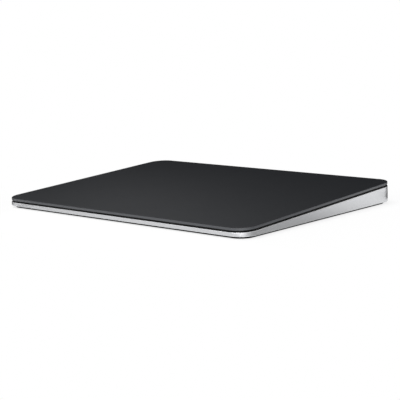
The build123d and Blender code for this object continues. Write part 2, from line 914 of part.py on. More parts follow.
# Four amplifiers of the strain gauges and their small parts
with BuildPart() as force_chips:
    with Locations(*[on_side_board(1, shares) for shares in force_chip_shares]):
        Box(small_chip_side, small_chip_side, small_chip_height, align=standing)
    with Locations(on_side_board(1, force_passive_shares)):
        with GridLocations(passive_spacing, passive_spacing, *force_passive_counts):
            Box(passive_length, passive_width, passive_height, align=standing)
save(force_chips, "force_chips")

# Socket board along the rear wall, which also carries the switch
with BuildPart() as io_board:
    with BuildSketch(Plane.XY.offset(io_board_bottom)):
        with Locations((io_board_x, io_board_y)):
            RectangleRounded(io_board_width, io_board_depth, side_board_corner)
        with Locations(*io_screw_spots):
            Circle(screw_radius + screw_hole_gap, mode=Mode.SUBTRACT)
    extrude(amount=io_board_thickness)
save(io_board, "io_board")

with BuildPart() as board_screws:
    add(screws(Plane.XY.offset(side_board_top), side_board_screw_spots).part)
    add(screws(Plane.XY.offset(io_board_top), io_screw_spots).part)
    add(screws(engine_deck, ear_spots).part)
save(board_screws, "board_screws")

# Connectors for the flat cables: along the boards' front and rear edges, then their inner edges
io_connector_y = io_front_y + half_connector
antenna_plug_x = -(side_board_x + (side_board_width - connector_depth) / 2)
with BuildPart() as flex_connectors:
    with Locations((touch_flex_x, front_row_y, side_board_top)):
        Box(connector_width, connector_depth, connector_height, align=standing)
    with Locations((lead_x, rear_row_y, side_board_top)):
        Box(lead_connector_width, connector_depth, connector_height, align=standing)
    with Locations(
        (lane_x, rear_row_y, side_board_top),
        (lane_x, io_connector_y, io_board_top),
        (-flexure_x, front_row_y, side_board_top),
        (flexure_x, front_row_y, side_board_top),
        (-flexure_x, rear_row_y, side_board_top),
        (flexure_x, rear_row_y, side_board_top),
    ):
        Box(narrow_connector_width, connector_depth, connector_height, align=standing)
    with Locations(
        (-bridge_x, bridge_y, side_board_top),
        (bridge_x, bridge_y, side_board_top),
        (-bridge_x, engine_y, side_board_top),
    ):
        Box(connector_depth, connector_width, connector_height, align=standing)
    with Locations((antenna_plug_x, side_board_y, side_board_top)):
        Box(connector_depth, narrow_connector_width, connector_height, align=standing)
save(flex_connectors, "flex_connectors")

# Flat cables that run front to back: from the battery and from the socket board
lead_height = protection_top + ribbon_thickness / 2
battery_lead = ribbon(
    Plane.YZ.offset(lead_x),
    [
        (battery_front_y + protection_board_depth - passive_width, lead_height),
        (battery_front_y - ribbon_ramp, lead_height),
        (side_board_rear_y + ribbon_ramp, ribbon_rest),
        (rear_row_y - half_connector, ribbon_rest),
    ],
    ribbon_lead,
)
save(battery_lead, "battery_lead")

io_ribbon_rest = io_board_top + connector_height + ribbon_thickness / 2
io_flex = ribbon(
    Plane.YZ.offset(lane_x),
    [
        (io_connector_y + half_connector, io_ribbon_rest),
        (io_front_y - ribbon_bend, io_ribbon_rest),
        (io_front_y - ribbon_ramp, ribbon_low),
        (side_board_rear_y + 2 * ribbon_ramp, ribbon_low),
        (side_board_rear_y + ribbon_ramp, ribbon_rest),
        (rear_row_y - half_connector, ribbon_rest),
    ],
    ribbon_narrow,
)
save(io_flex, "io_flex")

# Tails of the strain gauges: the front ones go straight back, the rear ones drop to the floor first
gauge_drop = flexure_drop - gauge_thickness
front_tail_y = depth_at(gauge_drop, front_flexure_y + flexure_width / 2)
front_tail_z = height_at(gauge_drop, front_tail_y) + ribbon_thickness / 2
rear_tail_y = depth_at(gauge_drop, rear_flexure_y - flexure_width / 2)
rear_tail_z = height_at(gauge_drop, rear_tail_y + flexure_beam) + ribbon_thickness / 2
with BuildPart() as gauge_tails:
    for x in (-flexure_x, flexure_x):
        front_tail = ribbon(
            Plane.YZ.offset(x),
            [
                (front_tail_y - flexure_beam, front_tail_z),
                (front_tail_y + ribbon_bend, front_tail_z),
                (side_board_front_y - ribbon_bend, ribbon_rest),
                (front_row_y + half_connector, ribbon_rest),
            ],
            ribbon_narrow,
        )
        rear_tail = ribbon(
            Plane.YZ.offset(x),
            [
                (rear_tail_y + flexure_beam, rear_tail_z),
                (rear_tail_y - ribbon_bend, rear_tail_z),
                (rear_tail_y - ribbon_ramp, ribbon_low),
                (side_board_rear_y + 2 * ribbon_ramp, ribbon_low),
                (side_board_rear_y + ribbon_ramp, ribbon_rest),
                (rear_row_y - half_connector, ribbon_rest),
            ],
            ribbon_narrow,
        )
        add(front_tail.part)
        add(rear_tail.part)
save(gauge_tails, "gauge_tails")

# Cable between the fixed logic board and the moving touch board, with a sag that lets it give
touch_pad_drop = stiffener_drop + connector_height
touch_front_y = depth_at(touch_pad_drop, touch_row_y - half_connector)
touch_flex_z = height_at(touch_pad_drop, touch_front_y) - ribbon_thickness / 2
sag_from_y = side_board_front_y - ribbon_bend
sag_to_y = touch_front_y + connector_depth + ribbon_bend
touch_flex = ribbon(
    Plane.YZ.offset(touch_flex_x),
    [
        (front_row_y + half_connector, ribbon_rest),
        (sag_from_y, ribbon_rest),
        ((sag_from_y + sag_to_y) / 2, ribbon_rest - ribbon_sag),
        (sag_to_y, touch_flex_z),
        (touch_front_y, touch_flex_z),
    ],
    ribbon_wide,
)
save(touch_flex, "touch_flex")

# Flat cables that run across: between the two boards, and from the logic board to the coils
bridge_flex = ribbon(
    along_x(bridge_y),
    [
        (-(bridge_x + half_connector), ribbon_rest),
        (-(board_edge_x - ribbon_bend), ribbon_rest),
        (-(board_edge_x - ribbon_ramp), ribbon_low),
        (board_edge_x - ribbon_ramp, ribbon_low),
        (board_edge_x - ribbon_bend, ribbon_rest),
        (bridge_x + half_connector, ribbon_rest),
    ],
    ribbon_wide,
)
save(bridge_flex, "bridge_flex")

engine_wall_top = height_at(engine_deck_drop - engine_wall_height, engine_y + ribbon_wide / 2)
coil_ribbon_z = engine_wall_top + ribbon_thickness / 2
haptic_flex = ribbon(
    along_x(engine_y),
    [
        (-(bridge_x + half_connector), ribbon_rest),
        (-(board_edge_x - ribbon_bend), ribbon_rest),
        (-(board_edge_x - ribbon_ramp), coil_ribbon_z),
        (-(tooth_spacing + coil_width / 2), coil_ribbon_z),
    ],
    ribbon_wide,
)
save(haptic_flex, "haptic_flex")

# Charging socket: a steel shell, the moulding with its tongue, the contacts and a seal
with BuildPart() as port_shell:
    with BuildSketch(rear_face.offset(-socket_setback)):
        SlotOverall(socket_width, socket_height)
        SlotOverall(
            socket_width - 2 * socket_wall,
            socket_height - 2 * socket_wall,
            mode=Mode.SUBTRACT,
        )
    extrude(amount=-socket_length)
save(port_shell, "port_shell")

tongue_length = socket_length - socket_back_length - tongue_setback
socket_back = rear_face.offset(-(socket_setback + socket_length))
with BuildPart() as port_insulator:
    with BuildSketch(socket_back):
        SlotOverall(
            socket_width - 2 * (socket_wall + insulator_gap),
            socket_height - 2 * (socket_wall + insulator_gap),
        )
    extrude(amount=socket_back_length)
    with BuildSketch(socket_back.offset(socket_back_length)):
        Rectangle(tongue_width, tongue_thickness)
    extrude(amount=tongue_length)
    chamfer(port_insulator.faces().sort_by(Axis.Y)[-1].edges(), tongue_bevel)
save(port_insulator, "port_insulator")

contact_y = (
    depth / 2 - socket_setback - tongue_setback - contact_tip_gap - contact_length / 2
)
with BuildPart() as port_contacts:
    with Locations((0, contact_y, socket_z + tongue_thickness / 2)):
        with GridLocations(contact_spacing, 0, contact_count, 1):
            Box(contact_width, contact_length, contact_thickness, align=standing)
    with Locations((0, contact_y, socket_z - tongue_thickness / 2)):
        with GridLocations(contact_spacing, 0, contact_count, 1):
            Box(contact_width, contact_length, contact_thickness, align=hanging)
save(port_contacts, "port_contacts")

with BuildPart() as port_gasket:
    with BuildSketch(rear_face.offset(-wall)):
        SlotOverall(socket_width + 2 * gasket_width, socket_height + 2 * gasket_width)
        SlotOverall(socket_width, socket_height, mode=Mode.SUBTRACT)
    extrude(amount=-gasket_depth)
save(port_gasket, "port_gasket")

# Power switch: the knob, the shuttle behind it with its coloured mark, and the switch on the board
shuttle_drop = wall + shuttle_wall_gap
with BuildPart() as switch_knob:
    with BuildSketch(rear_face.offset(-knob_setback)):
        with Locations((-knob_x, 0)):
            SlotOverall(knob_length, knob_height)
    extrude(amount=knob_setback - shuttle_drop)
    chamfer(switch_knob.faces().sort_by(Axis.Y)[-1].edges(), knob_bevel)
save(switch_knob, "switch_knob")

shuttle_face = rear_face.offset(-shuttle_drop)
shuttle_left = switch_x - slot_length / 2 - shuttle_end_cover
shuttle_right = switch_x + slot_length / 2 + switch_travel + shuttle_end_cover
mark_left = knob_x + knob_length / 2 + knob_end_gap
mark_right = shuttle_right - shuttle_cover
with BuildPart() as switch_shuttle:
    with BuildSketch(shuttle_face):
        with Locations((-(shuttle_left + shuttle_right) / 2, 0)):
            Rectangle(shuttle_right - shuttle_left, slot_height + 2 * shuttle_cover)
    extrude(amount=-shuttle_thickness)
    with BuildSketch(shuttle_face):
        with Locations((-(mark_left + mark_right) / 2, 0)):
            Rectangle(mark_right - mark_left, slot_height)
    extrude(amount=-mark_thickness, mode=Mode.SUBTRACT)
    with BuildSketch(shuttle_face.offset(-shuttle_thickness)):
        with Locations((-knob_x, 0)):
            Rectangle(arm_width, arm_height)
    extrude(amount=-arm_length)
save(switch_shuttle, "switch_shuttle")

with BuildPart() as switch_mark:
    with BuildSketch(shuttle_face):
        with Locations((-(mark_left + mark_right) / 2, 0)):
            Rectangle(mark_right - mark_left, slot_height)
    extrude(amount=-mark_thickness)
save(switch_mark, "switch_mark")

switch_body_rear_y = depth / 2 - shuttle_drop - shuttle_thickness - switch_body_gap
switch_body_y = switch_body_rear_y - switch_body_depth / 2
switch_body_height = socket_z - io_board_top + switch_body_top
with BuildPart() as switch_body:
    with Locations((switch_x, switch_body_y, io_board_top)):
        Box(switch_body_length, switch_body_depth, switch_body_height, align=standing)
    with Locations((switch_x, switch_body_y + switch_body_wall, socket_z)):
        Box(
            switch_travel + arm_width + 2 * arm_gap,
            switch_body_depth,
            arm_height + 2 * arm_gap,
            mode=Mode.SUBTRACT,
        )
save(switch_body, "switch_body")

# Antenna: a moulded rail along the left wall, with a winding copper track that ends on the board
antenna_x = -(cavity_half_width - antenna_wall_gap - antenna_width / 2)
antenna_length = (antenna_turns - 1) * antenna_spacing + antenna_track + 2 * antenna_end
with BuildPart() as antenna_carrier:
    with Locations((antenna_x, side_board_y, floor_top)):
        Box(antenna_width, antenna_length, connector_top - floor_top, align=standing)
save(antenna_carrier, "antenna_carrier")

track_half_width = antenna_width / 2 - antenna_track
tail_end_x = antenna_plug_x + half_connector
with BuildPart() as antenna_flex:
    with BuildSketch(Plane.XY.offset(connector_top)):
        for turn in range(antenna_turns):
            turn_y = side_board_y + (turn - (antenna_turns - 1) / 2) * antenna_spacing
            with Locations((antenna_x, turn_y)):
                Rectangle(2 * track_half_width, antenna_track)
        for link in range(antenna_turns - 1):
            side = 1 if link % 2 else -1
            link_x = antenna_x + side * (track_half_width - antenna_track / 2)
            link_y = side_board_y + (link + 1 - antenna_turns / 2) * antenna_spacing
            with Locations((link_x, link_y)):
                Rectangle(antenna_track, antenna_spacing)
        with Locations(((antenna_x + tail_end_x) / 2, side_board_y)):
            Rectangle(tail_end_x - antenna_x, antenna_track)
    extrude(amount=antenna_film)
save(antenna_flex, "antenna_flex")

# Rubber stops that limit how far the deck goes down
stop_front_y = stop_front_gap - cavity_half_depth
stop_rear_y = rear_flexure_y - stop_rear_ahead
rear_stop_x = cavity_half_width - stop_wall_gap
with BuildPart() as travel_stops:
    with BuildSketch(Plane.XY.offset(floor_top)):
        with Locations((-window_spacing, stop_front_y), (window_spacing, stop_front_y)):
            Circle(stop_radius)
        with Locations((-rear_stop_x, stop_rear_y), (rear_stop_x, stop_rear_y)):
            Circle(stop_radius)
    extrude(amount=rear_height)
    split(bisect_by=deck_at(stack_drop + press_travel + stop_spare), keep=Keep.BOTTOM)
save(travel_stops, "travel_stops")
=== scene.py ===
import json
from math import cos, pi, radians, sin

import bmesh
import bpy
from mathutils import Matrix, Vector


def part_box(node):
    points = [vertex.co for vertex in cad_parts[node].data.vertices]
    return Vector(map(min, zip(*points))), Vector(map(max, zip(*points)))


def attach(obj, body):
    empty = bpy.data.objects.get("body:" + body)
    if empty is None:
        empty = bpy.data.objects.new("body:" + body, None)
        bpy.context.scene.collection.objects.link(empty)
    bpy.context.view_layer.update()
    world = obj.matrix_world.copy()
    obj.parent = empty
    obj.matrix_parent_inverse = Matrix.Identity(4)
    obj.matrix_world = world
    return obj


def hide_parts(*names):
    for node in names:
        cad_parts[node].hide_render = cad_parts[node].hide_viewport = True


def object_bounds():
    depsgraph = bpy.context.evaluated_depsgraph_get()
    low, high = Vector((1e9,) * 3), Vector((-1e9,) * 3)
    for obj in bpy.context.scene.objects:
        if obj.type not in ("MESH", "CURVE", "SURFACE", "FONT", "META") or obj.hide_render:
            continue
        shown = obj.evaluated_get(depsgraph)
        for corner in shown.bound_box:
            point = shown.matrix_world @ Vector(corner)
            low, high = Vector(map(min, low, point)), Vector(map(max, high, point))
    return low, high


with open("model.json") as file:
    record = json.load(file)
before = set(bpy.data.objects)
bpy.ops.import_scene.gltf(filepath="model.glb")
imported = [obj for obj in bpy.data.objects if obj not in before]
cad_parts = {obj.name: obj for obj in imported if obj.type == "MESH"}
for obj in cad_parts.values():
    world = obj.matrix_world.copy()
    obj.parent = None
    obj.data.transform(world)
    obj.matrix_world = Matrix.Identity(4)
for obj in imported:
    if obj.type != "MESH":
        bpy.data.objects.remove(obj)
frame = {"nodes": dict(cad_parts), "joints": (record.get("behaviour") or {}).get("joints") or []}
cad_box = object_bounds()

# The looks of a flat wireless touch pad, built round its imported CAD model. X runs to the right, Y from
# the user's edge to the rear and Z up, in metres, as in the frame. Lengths are written in millimetres
# and multiplied by MM.

bl_info = {
    "name": "Touch pad looks",
    "version": (1, 0, 0),
    "blender": (4, 5, 0),
    "location": "3D View > Sidebar > Touch pad",
    "description": "Finishes the packed touch pad and sets up its studio and camera",
    "category": "Object",
}

MM = 0.001

# Axes of the deck, which slopes up to the rear: its normal is the way that a press doesn't go
press_axis = next(j["axis"] for j in frame["joints"] if j["name"] == "touch_press")
deck_normal = -Vector(press_axis).normalized()
deck_x = Vector((1, 0, 0))
deck_y = deck_normal.cross(deck_x)
deck_turn = Matrix((deck_x, deck_y, deck_normal)).transposed().to_4x4()

# The rear wall's own axes: X to the left when seen from behind, Y up and Z out of the wall
rear_turn = Matrix(((-1, 0, 0), (0, 0, 1), (0, 1, 0))).transposed().to_4x4()


def linear(hex_colour):
    """Linear colour, with an alpha of 1, of an sRGB hex value such as d8d9db."""
    channels = [int(hex_colour[i : i + 2], 16) / 255 for i in (0, 2, 4)]
    return tuple(
        c / 12.92 if c <= 0.04045 else ((c + 0.055) / 1.055) ** 2.4 for c in channels
    ) + (1.0,)


def corners_of(points):
    """Lowest and highest corner of the box round some points."""
    low = Vector([min(point[axis] for point in points) for axis in range(3)])
    high = Vector([max(point[axis] for point in points) for axis in range(3)])
    return low, high


def middle_and_half(low, high):
    """Middle of a box, and half its size."""
    return (low + high) / 2, (high - low) / 2


def box_along(node, turn):
    """Lowest and highest corner of a CAD node, along the axes of a turning matrix."""
    back = turn.inverted()
    return corners_of([back @ vertex.co for vertex in frame["nodes"][node].data.vertices])


def solids_of(node, turn=Matrix.Identity(4)):
    """Corners of each separate solid of a CAD node along a matrix's axes, in order of their places."""
    welded = bmesh.new()
    welded.from_mesh(frame["nodes"][node].data)
    bmesh.ops.remove_doubles(welded, verts=welded.verts, dist=0.001 * MM)
    welded.verts.ensure_lookup_table()
    back = turn.inverted()
    met = set()
    boxes = []
    for start in welded.verts:
        if start.index in met:
            continue
        met.add(start.index)
        waiting = [start]
        points = []
        while waiting:
            vertex = waiting.pop()
            points.append(back @ vertex.co)
            for edge in vertex.link_edges:
                other = edge.other_vert(vertex)
                if other.index not in met:
                    met.add(other.index)
                    waiting.append(other)
        boxes.append(corners_of(points))
    welded.free()
    return sorted(boxes, key=lambda box: [round(c / MM, 2) for c in box[0]])


# Sizes and colours that a user would change


class TouchPadSizes(bpy.types.PropertyGroup):
    """Real sizes of what the looks add to the CAD model."""

    glass_corner: bpy.props.FloatProperty(
        name="Glass corner", description="Radius of the glass sheet's corners",
        default=8.5 * MM, unit="LENGTH", precision=5,
    )
    glass_round: bpy.props.FloatProperty(
        name="Glass edge", description="Radius that the upper edge of the glass is ground to",
        default=0.16 * MM, unit="LENGTH", precision=5,
    )
    glass_lower_round: bpy.props.FloatProperty(
        name="Glass lower edge", description="Radius of the lower edge of the glass",
        default=0.1 * MM, unit="LENGTH", precision=5,
    )
    foot_round: bpy.props.FloatProperty(
        name="Foot edge", description="Radius of the edge of each rubber foot",
        default=0.14 * MM, unit="LENGTH", precision=5,
    )
    gel_bulge: bpy.props.FloatProperty(
        name="Gel bulge", description="How far the sides of a gel pad draw in at its two faces",
        default=0.22 * MM, unit="LENGTH", precision=5,
    )
    wire: bpy.props.FloatProperty(
        name="Coil wire", description="Diameter of the enamelled wire of the coils",
        default=0.28 * MM, unit="LENGTH", precision=5,
    )
    pouch_round: bpy.props.FloatProperty(
        name="Pouch edge", description="Radius of the upper edge of a battery pouch",
        default=0.9 * MM, unit="LENGTH", precision=5,
    )
    pouch_crown: bpy.props.FloatProperty(
        name="Pouch crown", description="How far the middle of a pouch stands over its edges",
        default=0.12 * MM, unit="LENGTH", precision=5,
    )


class TouchPadColours(bpy.types.PropertyGroup):
    """Colours of the finishes, as linear values of their sRGB hex colours."""

    glass: bpy.props.FloatVectorProperty(
        name="Glass", description="Black print seen through the etched glass",
        default=linear("1a1b1d"), size=4, subtype="COLOR",
    )
    glass_edge: bpy.props.FloatVectorProperty(
        name="Glass edge", description="Ground edge of the glass",
        default=linear("525458"), size=4, subtype="COLOR",
    )
    aluminium: bpy.props.FloatVectorProperty(
        name="Aluminium", description="Silver anodised tub and switch knob",
        default=linear("d1d2d4"), size=4, subtype="COLOR",
    )
    base: bpy.props.FloatVectorProperty(
        name="Base plate", description="Moulded plate under the tub",
        default=linear("2a2b2d"), size=4, subtype="COLOR",
    )
    rubber: bpy.props.FloatVectorProperty(
        name="Feet", description="Rubber of the feet",
        default=linear("2a2a2b"), size=4, subtype="COLOR",
    )
    solder_mask: bpy.props.FloatVectorProperty(
        name="Solder mask", description="Lacquer on the circuit boards",
        default=linear("12402c"), size=4, subtype="COLOR",
    )
    switch_mark: bpy.props.FloatVectorProperty(
        name="Switch mark", description="Paint that shows when the switch is on",
        default=linear("35b24a"), size=4, subtype="COLOR",
    )


class TouchPadStudio(bpy.types.PropertyGroup):
    """Camera and light of the studio."""

    azimuth: bpy.props.FloatProperty(
        name="Azimuth", description="Turn of the camera round the pad, from straight ahead of it",
        default=radians(42.442), subtype="ANGLE",
    )
    elevation: bpy.props.FloatProperty(
        name="Elevation", description="Height of the camera over the table, as an angle",
        default=radians(9.438), subtype="ANGLE",
    )
    roll: bpy.props.FloatProperty(
        name="Roll", description="Turn of the camera about its own line of sight",
        default=radians(-1.866), subtype="ANGLE",
    )
    distance: bpy.props.FloatProperty(
        name="Distance", description="From the camera to the pad",
        default=592.742 * MM, unit="LENGTH",
    )
    aim_right: bpy.props.FloatProperty(
        name="Aim right", description="How far right of the pad's middle the camera aims",
        default=2.036 * MM, unit="LENGTH", precision=5,
    )
    aim_up: bpy.props.FloatProperty(
        name="Aim up", description="How far over the table the camera aims",
        default=2.241 * MM, unit="LENGTH", precision=5,
    )
    lens: bpy.props.FloatProperty(
        name="Lens", description="Focal length in millimetres, on a sensor 36 mm wide",
        default=106.194, unit="CAMERA",
    )
    room_light: bpy.props.FloatProperty(
        name="Room light", description="Strength of the even light from all round",
        default=0.4,
    )
    shadow: bpy.props.FloatProperty(
        name="Shadow", description="Share of its own shade that the white floor keeps near the pad",
        default=0.2, subtype="FACTOR",
    )


# Nodes, materials and meshes


def add_node(tree, kind, sockets=None, **settings):
    """Adds one node with its settings. Each socket gets a value or a link from another socket."""
    node = tree.nodes.new(kind)
    for name, value in settings.items():
        setattr(node, name, value)
    for socket, source in (sockets or {}).items():
        if isinstance(source, bpy.types.NodeSocket):
            tree.links.new(source, node.inputs[socket])
        else:
            node.inputs[socket].default_value = source
    return node


class Finish:
    """A principled material whose patterns are laid out in millimetres of the pad's own axes. The
    shader's own sockets are written with _ for a space."""

    def __init__(self, name, colour, roughness, **sockets):
        self.material = bpy.data.materials.new(name)
        self.material.use_nodes = True
        self.tree = self.material.node_tree
        self.shader = self.tree.nodes["Principled BSDF"]
        self.colour = colour
        sockets |= {"Base_Color": colour, "Roughness": roughness}
        for socket, value in sockets.items():
            self.shader.inputs[socket.replace("_", " ")].default_value = value
        place = add_node(self.tree, "ShaderNodeTexCoord").outputs["Object"]
        self.millimetres = add_node(
            self.tree, "ShaderNodeVectorMath", {0: place, "Scale": 1 / MM}, operation="SCALE"
        ).outputs[0]

    def stretched(self, stretch):
        """The place in millimetres, divided by how far a pattern runs along each axis."""
        shares = [1 / run for run in stretch]
        return add_node(
            self.tree, "ShaderNodeVectorMath", {0: self.millimetres, 1: shares}, operation="MULTIPLY"
        ).outputs[0]

    def noise(self, size, detail=2.0, stretch=(1, 1, 1)):
        """Noise from 0 to 1 whose patches are this many millimetres across."""
        sockets = {"Vector": self.stretched(stretch), "Scale": 1 / size, "Detail": detail}
        return add_node(self.tree, "ShaderNodeTexNoise", sockets).outputs["Fac"]

    def bands(self, axis, spacing):
        """Waves from 0 to 1 across one axis, this many millimetres apart."""
        # At a scale of 1, the wave texture repeats every 2 pi / 20
        sockets = {"Vector": self.millimetres, "Scale": 2 * pi / 20 / spacing}
        wave = add_node(self.tree, "ShaderNodeTexWave", sockets, bands_direction=axis)
        return wave.outputs["Fac"]

    def above(self, value, edge, soft):
        """1 where a value is over an edge and 0 where it is under, with a soft step between."""
        sockets = {"Value": value, "From Min": edge - soft, "From Max": edge + soft}
        return add_node(self.tree, "ShaderNodeMapRange", sockets).outputs["Result"]

    def tint(self, share, colour):
        """Lets the base colour run to another one as share goes from 0 to 1."""
        base = self.shader.inputs["Base Color"]
        below = base.links[0].from_socket if base.links else self.colour
        sockets = {0: share, 6: below, 7: colour}
        mix = add_node(self.tree, "ShaderNodeMix", sockets, data_type="RGBA")
        self.tree.links.new(mix.outputs[2], base)

    def rough(self, share, low, high):
        """Lets the roughness run from low to high as share goes from 0 to 1."""
        sockets = {"Value": share, "To Min": low, "To Max": high}
        spread = add_node(self.tree, "ShaderNodeMapRange", sockets)
        self.tree.links.new(spread.outputs["Result"], self.shader.inputs["Roughness"])

    def relief(self, height, depth):
        """Bumps this many millimetres deep, laid over those that are there."""
        normal = self.shader.inputs["Normal"]
        sockets = {"Height": height, "Distance": depth * MM}
        if normal.links:
            sockets["Normal"] = normal.links[0].from_socket
        bump = add_node(self.tree, "ShaderNodeBump", sockets)
        self.tree.links.new(bump.outputs["Normal"], normal)


def darker(colour, share):
    """A linear colour at this share of its light."""
    return (*[channel * share for channel in colour[:3]], 1.0)


def rounded_ring(half_x, half_y, radius, steps):
    """Points of a rounded rectangle, anticlockwise from the foot of its upper right corner."""
    points = []
    for quarter in range(4):
        middle_x = (half_x - radius) * (1 if quarter in (0, 3) else -1)
        middle_y = (half_y - radius) * (1 if quarter in (0, 1) else -1)
        for step in range(steps + 1):
            angle = (quarter + step / steps) * pi / 2
            points.append((middle_x + radius * cos(angle), middle_y + radius * sin(angle)))
    return points


def circle_ring(radius, steps):
    """Points of a circle, anticlockwise."""
    return [
        (radius * cos(2 * pi * step / steps), radius * sin(2 * pi * step / steps))
        for step in range(steps)
    ]


def at_height(ring, height, middle=(0, 0)):
    """A flat ring as points in space, round a middle."""
    return [Vector((middle[0] + x, middle[1] + y, height)) for x, y in ring]


def stacked(half, levels, steps, middle=(0, 0)):
    """Rounded rectangles as rings, from the inset, corner radius and height of each level."""
    return [
        at_height(rounded_ring(half.x - inset, half.y - inset, radius, steps), height, middle)
        for inset, radius, height in levels
    ]


def quarter_round(radius, steps):
    """Inset and drop of a rounded edge, from its flat face to its side."""
    turns = [step / steps * pi / 2 for step in range(steps + 1)]
    return [(radius * (1 - sin(turn)), radius * (1 - cos(turn))) for turn in turns]


def loft(mesh, rings, around=False, paint=None):
    """Joins rings of points with quads, and closes both ends, or leads the last ring round to the
    first. paint gives each band's material, from the first ring on."""
    made = [[mesh.verts.new(point) for point in ring] for ring in rings]
    pairs = list(zip(made, made[1:]))
    if around:
        pairs.append((made[-1], made[0]))
    paint = paint or [0] * len(pairs)
    for band, (first, second) in enumerate(pairs):
        for here in range(len(first)):
            after = (here + 1) % len(first)
            face = mesh.faces.new((first[here], first[after], second[after], second[here]))
            face.material_index = paint[band]
    if not around:
        mesh.faces.new(list(reversed(made[0]))).material_index = paint[0]
        mesh.faces.new(made[-1]).material_index = paint[-1]


def soft_block(mesh, low, high, edge):
    """Block between two corners with its upright edges rounded, and its upper ones a little less."""
    middle, half = middle_and_half(low, high)
    steps = 3
    levels = [(0, edge, low.z)]
    for inset, drop in reversed(quarter_round(edge * 0.6, steps)):
        levels.append((inset, edge, high.z - drop))
    loft(mesh, stacked(half, levels, steps, middle))


def add_object(name, data):
    """Puts an object with this data into the scene."""
    added = bpy.data.objects.new(name, data)
    bpy.context.scene.collection.objects.link(added)
    return added


def add_sheet(name, middle, first, second, finish):
    """Flat sheet that runs from its middle by two half lengths, each way."""
    mesh = bmesh.new()
    signs = ((-1, -1), (1, -1), (1, 1), (-1, 1))
    mesh.faces.new([mesh.verts.new(middle + x * first + y * second) for x, y in signs])
    data = bpy.data.meshes.new(name)
    mesh.to_mesh(data)
    mesh.free()
    data.materials.append(finish)
    return add_object(name, data)


def make_piece(name, mesh, finishes, body, replaces=(), place=None, sharp=38):
    """Turns a mesh into a piece of the pad that rides on a body and shows these finishes."""
    if place:
        bmesh.ops.transform(mesh, matrix=place, verts=mesh.verts)
    bmesh.ops.remove_doubles(mesh, verts=mesh.verts, dist=0.0005 * MM)
    bmesh.ops.recalc_face_normals(mesh, faces=mesh.faces)
    data = bpy.data.meshes.new(name)
    mesh.to_mesh(data)
    mesh.free()
    data.shade_smooth()
    data.set_sharp_from_angle(angle=radians(sharp))
    for finish in finishes:
        data.materials.append(finish)
    piece = add_object(name, data)
    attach(piece, body)
    if replaces:
        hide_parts(*replaces)
    return piece


def dress(finish, *nodes):
    """Gives CAD nodes a finish."""
    for node in nodes:
        for slot in frame["nodes"][node].material_slots:
            slot.material = finish


# Finishes of the outside


def etched_glass(colours):
    """Aluminosilicate glass, etched in acid and printed black on its underside: a dense black under a
    faint even haze, with no mirror image."""
    made = Finish(
        "etched_black_glass", colours.glass, 0.5,
        IOR=1.5, Specular_IOR_Level=0.12, Specular_Tint=linear("ecf4ff"),
    )
    # The etched pits are a few hundredths of a millimetre across, drawn coarser so that they show
    pits = made.noise(0.35, detail=3)
    made.relief(pits, 0.004)
    made.rough(made.noise(30, detail=2), 0.48, 0.53)
    return made.material


def ground_glass(colours):
    """Edge of the glass, ground with fine grit and not polished: grey, as the cut scatters light."""
    made = Finish("ground_glass_edge", colours.glass_edge, 0.36, IOR=1.5)
    scratches = made.noise(0.3, detail=2, stretch=(6, 6, 0.5))
    made.relief(scratches, 0.006)
    made.tint(scratches, darker(colours.glass_edge, 0.82))
    return made.material


def black_print():
    """Ceramic ink, screen printed and fired on the underside of the glass: deep matte black."""
    made = Finish("fired_black_ink", linear("0d0d0e"), 0.7)
    made.relief(made.noise(0.4), 0.003)
    return made.material


def blasted_aluminium(colours):
    """Aluminium milled from a block, bead blasted and anodised silver: satin, with a fine grain."""
    made = Finish("bead_blasted_aluminium", colours.aluminium, 0.36, Metallic=1.0)
    # The beads leave dents of about 0.1 mm, drawn 0.3 mm across so that they show
    dents = made.noise(0.3, detail=3)
    made.relief(dents, 0.006)
    made.rough(made.noise(18, detail=2), 0.34, 0.39)
    made.tint(made.above(made.noise(0.6, detail=2), 0.5, 0.3), darker(colours.aluminium, 0.975))
    return made.material


def moulded_plate(colours):
    """Glass-filled nylon, moulded in a spark-eroded tool: dark grey with a fine even grain."""
    made = Finish("moulded_nylon_plate", colours.base, 0.55)
    made.relief(made.noise(0.32, detail=3), 0.02)
    made.tint(made.noise(9, detail=3), darker(colours.base, 0.86))
    return made.material


def black_moulding():
    """Black polycarbonate and ABS, moulded with a fine matte grain."""
    made = Finish("moulded_black_polycarbonate", linear("0b0b0c"), 0.6, Specular_IOR_Level=0.3)
    made.relief(made.noise(0.25, detail=3), 0.012)
    made.rough(made.noise(6), 0.56, 0.66)
    return made.material


def foot_rubber(colours):
    """Silicone rubber, moulded in a matte tool: nearly black, with no shine."""
    made = Finish("moulded_silicone_rubber", colours.rubber, 0.82)
    made.relief(made.noise(0.2, detail=4), 0.018)
    made.tint(made.noise(2.5, detail=4), darker(colours.rubber, 1.35))
    return made.material


def seal_rubber():
    """Nitrile rubber, moulded: soft black with a slight bloom."""
    made = Finish("moulded_nitrile_rubber", linear("1a1a1a"), 0.7)
    made.relief(made.noise(0.3, detail=3), 0.01)
    made.tint(made.noise(1.6, detail=4), linear("2b2b2a"))
    return made.material


def drawn_steel():
    """Stainless strip drawn into a tube and tumbled: bright, with fine marks along the draw."""
    made = Finish("drawn_stainless_steel", linear("c6c7ca"), 0.26, Metallic=1.0)
    marks = made.noise(0.12, detail=3, stretch=(1, 14, 1))
    made.relief(marks, 0.003)
    made.rough(marks, 0.2, 0.34)
    return made.material


def gold_plate():
    """Copper alloy, electroplated with nickel and hard gold: smooth and warm yellow."""
    made = Finish("hard_gold_plating", linear("e3b65a"), 0.2, Metallic=1.0)
    made.rough(made.noise(0.2, detail=2), 0.16, 0.27)
    made.tint(made.noise(0.8), linear("d9a548"))
    return made.material


